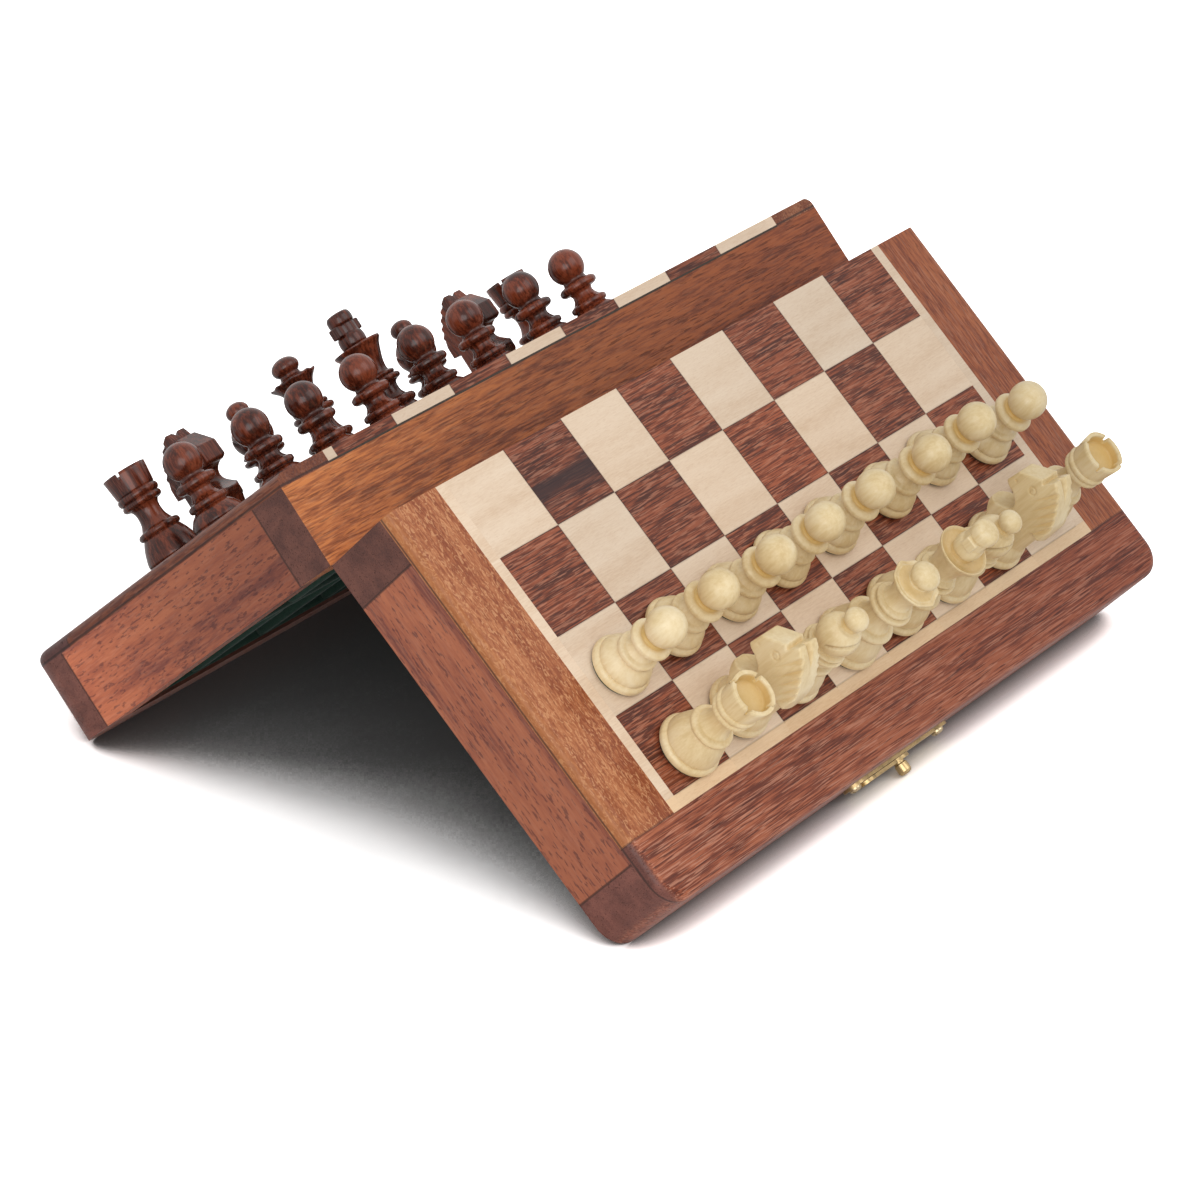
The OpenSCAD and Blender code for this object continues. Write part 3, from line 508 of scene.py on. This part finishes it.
def curveThrough(points, steps):
    # Catmull-Rom curve through the profile; a point marked 1 stays a sharp corner. Each
    # stretch weighs its two ends, a and b, and its slopes there, ta and tb, by cubics of u,
    # and no slope is longer than 1.2 of the stretch
    p = np.array([(q[0], q[1]) for q in points], float)
    sharp = np.array([len(q) > 2 for q in points])
    before = np.vstack([p[:1], p[:-2], p[-2:-1]])
    t = (np.vstack([p[1:], p[-1:]]) - np.vstack([p[:1], p[:-1]])) * 0.5
    tIn, tOut = t.copy(), t.copy()
    tIn[1:][sharp[1:]] = (p[1:] - p[:-1])[sharp[1:]]
    tOut[:-1][sharp[:-1]] = (p[1:] - p[:-1])[sharp[:-1]]
    u = np.linspace(0, 1, steps, endpoint=False)[None, :, None]
    a, b, ta, tb = p[:-1, None], p[1:, None], tOut[:-1, None], tIn[1:, None]
    size = np.linalg.norm(b - a, axis=2, keepdims=True)
    ta = ta * np.minimum(1, 1.2 * size / (np.linalg.norm(ta, axis=2, keepdims=True) + 1e-9))
    tb = tb * np.minimum(1, 1.2 * size / (np.linalg.norm(tb, axis=2, keepdims=True) + 1e-9))
    curve = (2 * u**3 - 3 * u**2 + 1) * a + (u**3 - 2 * u**2 + u) * ta
    curve = curve + (3 * u**2 - 2 * u**3) * b + (u**3 - u**2) * tb
    return np.vstack([curve.reshape(-1, 2), p[-1:]])


def turned(curve, around):
    # radius and height of the curve carried round Z; the two ends close on the axis
    angle = np.linspace(0, 2 * np.pi, around, endpoint=False)
    r, z = curve[:, :1], curve[:, 1:]
    n = len(curve)
    points = np.stack([r * np.cos(angle), r * np.sin(angle), z + 0 * angle], 2).reshape(-1, 3)
    i, j = np.meshgrid(np.arange(n - 1), np.arange(around), indexing="ij")
    k = (j + 1) % around
    quads = np.stack([i * around + j, i * around + k, (i + 1) * around + k, (i + 1) * around + j], 2)
    return points, quads.reshape(-1, 4)


def hollowShadeOf(points, quads):
    # how far a point lies in a hollow, which sets how much painted shade it gets: the surface is
    # relaxed 30 times, each time by 0.6 of the way to the mean of its neighbours, and what a point
    # gains along its outward normal, over 0.8 mm, is the depth
    edges = np.vstack([quads[:, [k, (k + 1) % 4]] for k in range(4)])
    a, b = np.vstack([edges, edges[:, ::-1]]).T
    count = np.maximum(np.bincount(a, minlength=len(points)), 1)[:, None]
    lean = np.cross(points[quads[:, 2]] - points[quads[:, 0]], points[quads[:, 3]] - points[quads[:, 1]])
    normal = sum(np.stack([np.bincount(quads[:, c], lean[:, k], len(points)) for k in range(3)], 1)
                 for c in range(4))
    length = np.maximum(np.linalg.norm(normal, axis=1, keepdims=True), 1e-9)
    normal *= np.sign((points * normal).sum()) / length
    soft = points.copy()
    for step in range(30):
        mean = np.stack([np.bincount(a, soft[b, k], len(points)) for k in range(3)], 1) / count
        soft += (mean - soft) * 0.6
    return np.clip(((soft - points) * normal).sum(1) / 0.8, 0, 1)


# The chessmen: a body's outline is in shares of the foot's radius and of the height over
# the square, and a point marked 1 is a sharp corner. All else is in millimetres and degrees.

def footLine(r):
    # the turned foot stands on a pad 0.6 thick and has a groove above its edge
    return [(0, 0.6, 1), (0.95 * r, 0.6, 1), (r, 1.2), (r, 2.3),
            (0.94 * r, 3.1, 1), (0.875 * r, 3.3, 1), (0.905 * r, 3.9)]


def arcLine(z, r, low, high, flat):
    # a ball's outline from one angle to another, or a button's where flat is under 1
    a = np.radians(np.linspace(low, high, 18))
    line = np.stack([r * np.cos(a), z + flat * r * np.sin(a)], 1)
    line[np.isclose(a, np.pi / 2), 0] = 0
    return line


pawnMan = {"foot": 8.9, "tall": 28.5, "ball": {"r": 5.7, "low": -50, "tall": 1.0},
           "body": [(0.87, 0.18), (0.73, 0.245), (0.59, 0.283), (0.57, 0.292, 1), (0.66, 0.308),
           (0.68, 0.335), (0.65, 0.36), (0.52, 0.378, 1), (0.42, 0.42), (0.38, 0.465), (0.42, 0.497),
           (0.46, 0.503, 1), (0.6, 0.51), (0.685, 0.532), (0.7, 0.556), (0.68, 0.58), (0.58, 0.602),
           (0.42, 0.612, 1)]}
rookMan = {"foot": 9.3, "tall": 31.3,
           "cup": {"inner": 0, "outer": 5.75, "low": 27.5, "high": 30.7, "hollow": 0.75},
           "slit": {"depth": 2.0, "turn": 30, "half": 0.55, "inner": 4},
           "body": [(0.87, 0.18), (0.78, 0.26), (0.66, 0.335), (0.62, 0.348, 1), (0.69, 0.363),
           (0.71, 0.388), (0.66, 0.412), (0.53, 0.424, 1), (0.43, 0.49), (0.4, 0.56), (0.42, 0.61),
           (0.48, 0.643, 1), (0.6, 0.652), (0.655, 0.668), (0.66, 0.688), (0.63, 0.706), (0.6, 0.712, 1),
           (0.66, 0.724), (0.69, 0.743), (0.69, 0.763), (0.66, 0.78), (0.62, 0.787, 1), (0.65, 0.8),
           (0.725, 1, 1), (0.6, 1, 1), (0.56, 0.91, 1), (0, 0.91, 1)]}
bishopMan = {"foot": 9.3, "tall": 34.8, "ball": {"r": 3.6, "low": -48, "tall": 0.78},
             "cut": {"at": (0, -5.6, 26.8), "tilt": -38, "half": 0.42, "depth": 1.5,
                     "low": 20.5, "high": 29.2},
             "body": [(0.87, 0.17), (0.77, 0.24), (0.65, 0.303), (0.615, 0.314, 1), (0.69, 0.328),
             (0.71, 0.353), (0.66, 0.374), (0.52, 0.384, 1), (0.42, 0.415), (0.4, 0.438), (0.46, 0.453, 1),
             (0.64, 0.463), (0.72, 0.482), (0.71, 0.503), (0.6, 0.512, 1), (0.6, 0.519, 1), (0.66, 0.53),
             (0.65, 0.547), (0.52, 0.557, 1), (0.56, 0.58), (0.64, 0.62), (0.68, 0.67), (0.66, 0.72),
             (0.58, 0.77), (0.45, 0.81), (0.35, 0.818), (0.26, 0.83)]}
queenMan = {"foot": 9.7, "tall": 40.4, "ball": {"r": 4.39, "low": -46, "tall": 0.7},
            "cup": {"inner": 3.3, "outer": 5.8, "low": 33.0, "high": 34.5, "hollow": 0.5},
            "scallop": {"depth": 0.35, "draw": 0.07, "count": 8, "low": 31.2, "rise": 1.4, "top": 34,
                        "inner": 5.4, "edge": 1.2},
            "body": [(0.88, 0.15), (0.79, 0.205), (0.68, 0.253), (0.65, 0.263, 1), (0.75, 0.278),
            (0.78, 0.303), (0.72, 0.323), (0.56, 0.334, 1), (0.47, 0.38), (0.44, 0.43), (0.46, 0.475),
            (0.55, 0.497, 1), (0.67, 0.508), (0.71, 0.529), (0.67, 0.548), (0.54, 0.554, 1),
            (0.59, 0.563), (0.61, 0.58), (0.56, 0.594), (0.46, 0.602, 1), (0.42, 0.64), (0.46, 0.7),
            (0.56, 0.755), (0.7, 0.794), (0.77, 0.811), (0.765, 0.828), (0.65, 0.824), (0.47, 0.834),
            (0.38, 0.843), (0.34, 0.852), (0.33, 0.864)]}
kingMan = {"foot": 9.7, "tall": 45.0,
           "cup": {"inner": 3.3, "outer": 6.9, "low": 31.3, "high": 32.9, "hollow": 0.5},
           "arms": {"low": (-5.15, -1.95, 37.55), "high": (5.15, 1.95, 41.1), "round": 0.5},
           "body": [(0.88, 0.135), (0.79, 0.185), (0.68, 0.228), (0.65, 0.238, 1), (0.75, 0.251),
           (0.78, 0.274), (0.72, 0.292), (0.56, 0.302, 1), (0.47, 0.335), (0.45, 0.37), (0.47, 0.4),
           (0.56, 0.417, 1), (0.67, 0.424), (0.71, 0.44), (0.67, 0.457), (0.55, 0.463, 1), (0.6, 0.472),
           (0.61, 0.485), (0.55, 0.494), (0.47, 0.502, 1), (0.46, 0.53), (0.5, 0.58), (0.58, 0.63),
           (0.68, 0.685), (0.79, 0.722), (0.785, 0.738), (0.66, 0.716), (0.5, 0.703), (0.38, 0.708, 1),
           (0.36, 0.735, 1), (0.42, 0.752), (0.44, 0.785), (0.42, 0.82), (0.37, 0.838, 1), (0.36, 0.9),
           (0.34, 0.906, 1), (0.4, 0.915), (0.418, 0.94), (0.4, 0.972), (0.31, 0.993), (0, 1)]}


def manCurve(man):
    r, h = man["foot"], man["tall"]
    body = [(q[0] * r, q[1] * h) + tuple(q[2:]) for q in man["body"]]
    curve = curveThrough(footLine(r) + body, 6)
    if "ball" in man:
        b = man["ball"]
        top = arcLine(h - b["r"] * b["tall"], b["r"], b["low"], 90, b["tall"])
        curve = np.vstack([curve[:-1], top])
    return curve


def turnedMan(man):
    # the lathe curve carried round Z, then the few cuts that a lathe can't make
    p, quads = turned(manCurve(man), 144 if "slit" in man or "cut" in man else 96)
    r = np.hypot(p[:, 0], p[:, 1])
    a = np.arctan2(p[:, 1], p[:, 0])
    if "slit" in man:
        # lower the wall's top where it lies near either of two crossing lines
        s = man["slit"]
        across = r * np.abs(np.sin(((np.degrees(a) - s["turn"] + 45) % 90 - 45) * np.pi / 180))
        inSlit = (across < s["half"]) & (r > s["inner"])
        p[inSlit, 2] = np.minimum(p[inSlit, 2], man["tall"] - s["depth"])
    if "scallop" in man:
        # the crown's edge dips between its points, as the 1.5th power of a sine round Z,
        # times a share that rises from 0 to 1 with height and with radius
        s = man["scallop"]
        dip = np.abs(np.sin(a * s["count"] / 2)) ** 1.5
        rim = np.clip((p[:, 2] - s["low"]) / s["rise"], 0, 1) * np.clip((r - s["inner"]) / s["edge"], 0, 1)
        rim = rim * (p[:, 2] < s["top"])
        p[:, 2] -= s["depth"] * dip * rim
        p[:, :2] *= (1 - s["draw"] * dip * rim)[:, None]
    if "cut" in man:
        # a saw cut: points near a tilted plane on the front side move in toward the axis
        s = man["cut"]
        t = math.radians(s["tilt"])
        away = (p[:, 2] - s["at"][2]) * math.cos(t) + (p[:, 1] - s["at"][1]) * -math.sin(t)
        front = np.clip((-p[:, 1] - 0.2) / 1.0, 0, 1)
        inside = (np.abs(away) < s["half"]) * (p[:, 2] > s["low"]) * (p[:, 2] < s["high"])
        p[:, :2] *= (1 - s["depth"] * front * inside / np.maximum(r, 0.1))[:, None]
    if "arms" in man:
        arms = man["arms"]
        q, more = softBlock(np.array(arms["low"]), np.array(arms["high"]), arms["round"], 6)
        quads = np.vstack([quads, more + len(p)])
        p = np.vstack([p, q])
    return p, quads


def softBlock(low, high, radius, steps):
    # a cube's six faces as grids, pushed out to a box with rounded edges: the nearest point
    # of a smaller box, plus the radius along the line from it. The 0.6th power draws the
    # grid's lines toward the edges.
    u = np.linspace(-1, 1, 4 * steps + 1)
    u = np.sign(u) * np.abs(u) ** 0.6
    a, b = np.meshgrid(u, u, indexing="ij")
    one = np.ones_like(a)
    sides, quads, n = [], [], len(u)
    i, j = np.meshgrid(np.arange(n - 1), np.arange(n - 1), indexing="ij")
    q = np.stack([i * n + j, (i + 1) * n + j, (i + 1) * n + j + 1, i * n + j + 1], 2).reshape(-1, 4)
    faces = [(a, b, one), (b, a, -one), (one, a, b), (-one, b, a), (b, one, a), (a, -one, b)]
    for k, face in enumerate(faces):
        sides.append(np.stack(face, 2).reshape(-1, 3))
        quads.append(q + k * n * n)
    cube = np.vstack(sides)
    mid, reach = (low + high) / 2, (high - low) / 2
    outer = cube * reach
    core = np.clip(outer, -(reach - radius), reach - radius)
    push = outer - core
    length = np.linalg.norm(push, axis=1, keepdims=True)
    points = mid + core + push / np.maximum(length, 1e-9) * np.minimum(radius, length * 3)
    return points, np.vstack(quads)


# Knight: the zero surface of a distance worked out on a grid of points. Flat sawn sides
# with softened edges, the turned foot joined on, and the cuts taken away.
knightMan = {"foot": 9.3, "step": 0.3, "round": 0.45, "blend": 0.5,
             "low": (-10.2, -10.4, -0.1), "high": (10.2, 12.4, 36.2),
             "thick": 4.6, "nose": 0.8, "ears": 0.45, "back": 9.1, "chest": 9.0,
             "footTop": [(8.2, 5.6), (7.6, 7.0), (6.7, 8.1, 1), (0, 8.1, 1)],
             "side": [(-6.5, 7.0), (-8.2, 9.4), (-9.0, 13.0, 1), (-9.0, 19.0), (-8.2, 22.9), (-6.8, 26.0),
                      (-4.8, 29.2), (-2.5, 32.1), (-0.4, 33.85), (1.7, 35.0, 1), (2.5, 33.3, 1),
                      (3.35, 31.0, 1), (4.6, 32.0, 1), (10.7, 26.8, 1), (11.15, 21.6, 1), (9.6, 20.9),
                      (7.4, 20.7), (5.0, 19.6), (4.0, 18.0), (4.6, 16.2), (7.6, 14.0), (10.6, 12.4, 1),
                      (9.8, 11.0), (7.9, 9.5), (6.5, 7.0)],
             "gouge": {"low": 32.9, "rise": 0.445, "from": 1.58, "steep": (0.86, 0.52)},
             "mane": {"at": [(-1.6, 33.0), (-3.6, 30.7), (-5.3, 28.4), (-6.8, 26.0), (-7.9, 23.4)],
                      "way": (0.37, -0.93), "start": -0.9, "end": 9.8, "r": 0.97, "fade": 0.08},
             "nostril": {"at": (9.3, 24.2), "r": 0.4},
             "eye": {"at": (4.0, 27.0), "r": 0.28, "ring": 1.15, "line": 0.32}}


def distanceTo(a, b, outline):
    # signed distance in the plane to a closed outline, negative inside, by its nearest edge
    # and an even-odd count of crossings
    a, b = np.broadcast_arrays(a, b)
    p, q = outline, np.roll(outline, -1, 0)
    best = np.full(a.shape, 1e9)
    inside = np.zeros(a.shape, bool)
    for (px, py), (qx, qy) in zip(p, q):
        ex, ey = qx - px, qy - py
        t = np.clip(((a - px) * ex + (b - py) * ey) / (ex * ex + ey * ey + 1e-12), 0, 1)
        best = np.minimum(best, np.hypot(a - px - t * ex, b - py - t * ey))
        if py != qy:
            inside ^= ((py > b) != (qy > b)) & (a < (qx - px) * (b - py) / (qy - py) + px)
    return np.where(inside, -best, best)


def skinOf(field, low, step):
    # one point per grid cell that the surface crosses, at the mean of its edge crossings,
    # and one face across each grid edge that it cuts
    inside = field < 0
    n = np.array(field.shape)
    total, hits = np.zeros((*(n - 1), 3)), np.zeros(n - 1)
    for axis in range(3):
        others = [k for k in range(3) if k != axis]
        for b in (0, 1):
            for c in (0, 1):
                first = [slice(0, -1)] * 3
                for k, shift in zip(others, (b, c)):
                    first[k] = slice(shift, n[k] - 1 + shift)
                second = list(first)
                second[axis] = slice(1, None)
                v0, v1 = field[tuple(first)], field[tuple(second)]
                cut = (v0 < 0) != (v1 < 0)
                t = np.where(cut, v0 / np.where(cut, v0 - v1, 1), 0)
                hits += cut
                total[..., axis] += t * cut
                total[..., others[0]] += b * cut
                total[..., others[1]] += c * cut
    used = hits > 0
    number = np.cumsum(used.ravel()).reshape(used.shape) - 1
    corner = np.stack(np.nonzero(used), 1)
    points = np.asarray(low) + (corner + total[used] / hits[used][:, None]) * step
    quads = []
    for axis in range(3):
        b, c = [(1, 2), (2, 0), (0, 1)][axis]
        first, second = [slice(1, -1)] * 3, [slice(1, -1)] * 3
        first[axis], second[axis] = slice(0, -1), slice(1, None)
        goesOut = inside[tuple(first)] & ~inside[tuple(second)]
        comesIn = ~inside[tuple(first)] & inside[tuple(second)]
        for mask, flip in ((goesOut, False), (comesIn, True)):
            at = np.stack(np.nonzero(mask), 1)
            at[:, [b, c]] += 1
            ring = []
            for db, dc in ((-1, -1), (0, -1), (0, 0), (-1, 0)):
                cell = at.copy()
                cell[:, b] += db
                cell[:, c] += dc
                ring.append(number[cell[:, 0], cell[:, 1], cell[:, 2]])
            quads.append(np.stack(ring[::-1] if flip else ring, 1))
    return points, np.vstack(quads)


def carvedKnight(man):
    step = man["step"]
    low, high = np.array(man["low"]), np.array(man["high"])
    gx, gy, gz = [np.arange(low[k], high[k], step) for k in range(3)]
    side = curveThrough(man["side"] + [man["side"][0] + (1,)], 3)
    flat = distanceTo(gy[:, None], gz[None, :], side)[None]
    x, y, z = gx[:, None, None], gy[None, :, None], gz[None, None, :]
    # half thickness: full at the neck, a little narrower at the nose and the ears
    nose = man["nose"] * np.clip((y - 3) / 8, 0, 1) * np.clip((z - 17) / 4, 0, 1)
    thick = man["thick"] - nose - man["ears"] * np.clip((z - 28) / 7, 0, 1)
    # the outline drawn out sideways, its edges rounded: the length of what lies outside the
    # outline and outside the thickness, less the radius
    rad = man["round"]
    w0, w1 = flat + rad, np.abs(x) - (thick - rad)
    head = np.hypot(np.maximum(w0, 0), np.maximum(w1, 0)) + np.minimum(np.maximum(w0, w1), 0) - rad
    # the back of the neck follows the foot, and the chest is rounded from side to side
    head = np.maximum(head, np.where(y < 0, np.hypot(x, y) - man["back"], -man["chest"]))
    chest = np.hypot(x * 1.4, y - 1.8) - man["chest"]
    head = np.maximum(head, np.where(z < 17.5, chest, -man["chest"]))
    line = curveThrough(footLine(man["foot"]) + man["footTop"], 4)
    line = np.vstack([line, (line * (-1, 1))[-2:0:-1]])
    away = np.hypot(gx[:, None], gy[None, :]).ravel()[:, None]
    foot = distanceTo(away, gz[None, :], line).reshape(len(gx), len(gy), -1)
    # the nearer of foot and head, with a soft blend where they meet
    share = np.clip(0.5 + 0.5 * (foot - head) / man["blend"], 0, 1)
    solid = foot * (1 - share) + head * share - man["blend"] * share * (1 - share)
    cuts = np.full(solid.shape, 1e9)
    # a gouge between the ears, running out on the back of the neck
    g = man["gouge"]
    floor = g["low"] + g["rise"] * (y - g["from"])
    cuts = np.minimum(cuts, np.abs(x) * g["steep"][0] - g["steep"][1] * (z - floor))
    # mane: scoops down each side from the back edge, which fade out
    mane = man["mane"]
    wy, wz = mane["way"]
    for sy, sz in mane["at"]:
        along = np.clip((y - sy) * wy + (z - sz) * wz, mane["start"], mane["end"])
        apart = np.hypot(y - sy - along * wy, z - sz - along * wz)
        scoop = np.hypot(apart, np.abs(x) - thick) - mane["r"] + mane["fade"] * (along - mane["start"])
        cuts = np.minimum(cuts, scoop)
    # nostrils, eyes and a ring round each eye
    nostril, eye = man["nostril"], man["eye"]
    fromNostril = np.hypot(y - nostril["at"][0], z - nostril["at"][1])
    fromEye = np.hypot(y - eye["at"][0], z - eye["at"][1])
    for apart, r in ((fromNostril, nostril["r"]), (fromEye - eye["ring"], eye["line"]),
                     (fromEye, eye["r"])):
        cuts = np.minimum(cuts, np.hypot(apart, np.abs(x) - thick) - r)
    return skinOf(np.maximum(solid, -cuts), low, step)


def padDisc(r):
    # the felt pad under the foot: a low disc with a rounded edge
    line = [(0, 0.0, 1), (0.9 * r, 0.0, 1), (0.93 * r, 0.15), (0.93 * r, 0.6, 1), (0, 0.6, 1)]
    return turned(curveThrough(line, 3), 48)


print("chessmen")
men = {"pawn": pawnMan, "rook": rookMan, "bishop": bishopMan, "queen": queenMan, "king": kingMan,
       "knight": knightMan}
shapes, hollowShades = {}, {}
for kind, man in men.items():
    p, quads = carvedKnight(man) if kind == "knight" else turnedMan(man)
    shapes[kind] = (p, quads, *padDisc(man["foot"]))
    hollowShades[kind] = hollowShadeOf(p, quads)
    if "cup" in man:
        # painted shade over all of the inside of a cup or crown
        cup = man["cup"]
        r, z = np.hypot(p[:, 0], p[:, 1]), p[:, 2]
        inCup = (r >= cup["inner"]) & (r <= cup["outer"]) & (z >= cup["low"]) & (z <= cup["high"])
        hollowShades[kind] = np.maximum(hollowShades[kind], cup["hollow"] * inCup)

# how far each man stands from its square's middle, to the right and toward the hinge, as
# shares of a square: the men on the rim's row, then the pawns
astray = {
    "near": [[(0.062, -0.163), (0.008, -0.113), (-0.03, -0.113), (0.035, -0.143),
              (0.004, -0.124), (-0.012, -0.14), (0.039, -0.132), (0.116, -0.062)],
             [(-0.054, -0.093), (-0.07, -0.047), (-0.031, -0.058), (-0.078, -0.035),
              (-0.085, -0.019), (0.054, -0.016), (0.027, 0.023), (0, -0.078)]],
    "far": [[(0.023, -0.016), (-0.027, -0.062), (0.008, -0.039), (0.019, -0.031),
             (0.124, 0.039), (0.012, -0.047), (0.012, -0.047), (0, -0.047)],
            [(-0.058, -0.039), (0.066, -0.023), (0, -0.035), (-0.035, -0.031),
             (0.023, -0.031), (-0.062, -0.023), (0.035, -0.031), (-0.039, -0.054)]],
}


def setMan(side, colour, kind, column, row, name):
    # put a man a little astray from the middle of its square; rows count from the hinge
    sq = half["square"]
    dx, dy = astray[side][0 if row == 3 else 1][column]
    turn = 1 if side == "near" else -1
    at = np.array([turn * (column - 3.5 + dx) * sq, half["sawCut"] - (row + 0.5 - dy) * sq, half["height"]])
    p, quads, pad, padQuads = shapes[kind]
    points = stand(np.vstack([p, pad]) + at, side)
    wood = lightWood if colour == "light" else darkWood
    piece = meshPiece(f"{name}_carved", points, np.vstack([quads, padQuads + len(p)]), wood,
                      hollow=np.concatenate([hollowShades[kind], np.zeros(len(pad))]))
    piece.data.materials.append(greenFeltWithPaintedShade)
    cloth = np.arange(len(piece.data.polygons)) >= len(quads)
    piece.data.polygons.foreach_set("material_index", cloth.astype(int))
    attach(piece, name)
    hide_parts(name)


for side, colour in (("near", "light"), ("far", "dark")):
    for c in range(8):
        kind = backRank[c]
        name = f"{colour}_{kind}" if kind in ("king", "queen") else f"{colour}_{kind}_{files[c]}"
        setMan(side, colour, kind, c, 3, name)
        setMan(side, colour, "pawn", c, 2, f"{colour}_pawn_{files[c]}")

print("felt lining")
feltLining = {"sheet": 0.8, "divider": 4.0, "slots": 8, "drop": 1.15, "floor": 20.6, "inside": 234.0,
              "glue": 0.02, "sheetRound": 0.3, "dividerRound": 1.1}


def liningBlocks(felt):
    # lowest and highest corners, flat millimetres, with the rounding of the edges: the floor,
    # the walls' strips, the long divider, and the short ones between the slots
    w, t, d, g = felt["inside"] / 2, felt["sheet"], felt["divider"], felt["glue"]
    low, top, y0, y1 = felt["drop"], felt["floor"], half["frontWallInside"], half["hingeWallInside"]
    r, rd, slots = felt["sheetRound"], felt["dividerRound"], felt["slots"]
    slotW = (2 * w - 2 * t - (slots - 1) * d) / slots
    slotD = (y1 - y0 - 2 * t - d) / 2
    yield (-w, y0, top), (w, y1, top + t), r
    yield (-w, y0, low), (w, y0 + t, top - g), r
    yield (-w, y1 - t, low), (w, y1, top - g), r
    for x in (-w, w - t):
        yield (x, y0 + t + g, low), (x + t, y1 - t - g, top - g), r
    yield (-w + t + g, y0 + t + slotD, low), (w - t - g, y0 + t + slotD + d, top - g), rd
    for k in range(1, slots):
        for row in (0, 1):
            x = -w + t + k * slotW + (k - 1) * d
            y = y0 + t + row * (slotD + d) + g
            yield (x, y, low), (x + d, y + slotD - 2 * g, top - g), rd


for side in ("near", "far"):
    points, quads = [], []
    for low, high, radius in liningBlocks(feltLining):
        p, q = softBlock(np.array(low), np.array(high), radius, 3)
        quads.append(q + sum(len(b) for b in points))
        points.append(p)
    lining = meshPiece(f"{side}_felt_sheets", stand(np.vstack(points), side), np.vstack(quads), greenFeltWithPaintedShade)
    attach(lining, f"{side}_half")
    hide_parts(f"{side}_felt_lining")

print("stage and camera")
photoCamera = {"at": (-0.9533, -0.6810, 0.6089), "toward": (0.7267, 0.5221, -0.4464), "roll": 0.73,
               "lens": 135.49, "sensor": 36, "clip": 20}
cam = bpy.data.cameras.new("photoCamera")
cam.lens = photoCamera["lens"]
cam.sensor_width = photoCamera["sensor"]
cam.clip_end = photoCamera["clip"]
eye = bpy.data.objects.new("photoCamera", cam)
bpy.context.scene.collection.objects.link(eye)
turn = Vector(photoCamera["toward"]).to_track_quat("-Z", "Y").to_matrix().to_4x4()
turn = turn @ Matrix.Rotation(math.radians(photoCamera["roll"]), 4, "Z")
eye.matrix_world = Matrix.Translation(photoCamera["at"]) @ turn
bpy.context.scene.camera = eye
bpy.context.scene.view_settings.view_transform = "Standard"

studio = {"sky": 0.6, "key": 5.0, "fill": 8.8, "floor": 0.93, "seen": 2.3, "shade": 0.12}
# the sky is white to the camera and through reflections, and lights the rest at "sky"
world = bpy.data.worlds.new("paleRoom")
bpy.context.scene.world = world
world.use_nodes = True
sky = world.node_tree.nodes
sky["Background"].inputs["Color"].default_value = (1, 1, 1, 1)
path = sky.new("ShaderNodeLightPath")
seen = path.outputs["Is Camera Ray"]
for ray in ("Is Glossy Ray", "Is Transmission Ray"):
    either = sky.new("ShaderNodeMath")
    either.operation = "MAXIMUM"
    world.node_tree.links.new(seen, either.inputs[0])
    world.node_tree.links.new(path.outputs[ray], either.inputs[1])
    seen = either.outputs[0]
level = sky.new("ShaderNodeMapRange")
level.inputs["To Min"].default_value = studio["sky"]
level.inputs["To Max"].default_value = 1.0
world.node_tree.links.new(seen, level.inputs["Value"])
world.node_tree.links.new(level.outputs[0], sky["Background"].inputs["Strength"])


def softBox(name, at, size, power):
    lamp = bpy.data.lights.new(name, "AREA")
    lamp.shape = "SQUARE"
    lamp.size = size
    lamp.energy = power
    obj = bpy.data.objects.new(name, lamp)
    bpy.context.scene.collection.objects.link(obj)
    obj.matrix_world = Matrix.Translation(at) @ (-Vector(at)).to_track_quat("-Z", "Y").to_matrix().to_4x4()


softBox("keySoftBox", (0.3, -0.8, 1.2), 1.0, studio["key"])
softBox("fillSoftBox", (-1.2, -0.7, 0.75), 1.0, studio["fill"])

floorFinish = Finish("paleFloor", Roughness=0.9)
# painted shadow: to the camera the floor goes dark under the box, where the ambient occlusion
# finds little open sky, and the open floor runs out to white; in front of the near rim it stays white.
# Other rays see one pale grey.
ray = floorFinish.add("ShaderNodeLightPath")
openness = floorFinish.add("ShaderNodeAmbientOcclusion", {"samples": 16}, {"Distance": 0.13}, out=1)
behind = floorFinish.axes(floorFinish.add("ShaderNodeTexCoord", out=3))[1].ease(-0.112, -0.09)
clear = (openness.ease(0.22, 0.56) + (1 - behind)).clamp()
seen = floorFinish.mix(clear, (studio["shade"],) * 3, (studio["seen"],) * 3)
floorFinish.feed("Base Color", floorFinish.mix(ray, (studio["floor"],) * 3, seen))
floorPoints = np.array([(-6, -6, 0), (6, -6, 0), (6, 6, 0), (-6, 6, 0)], float)
floor = meshPiece("floor", floorPoints, [(0, 1, 2, 3)], floorFinish.material, False)
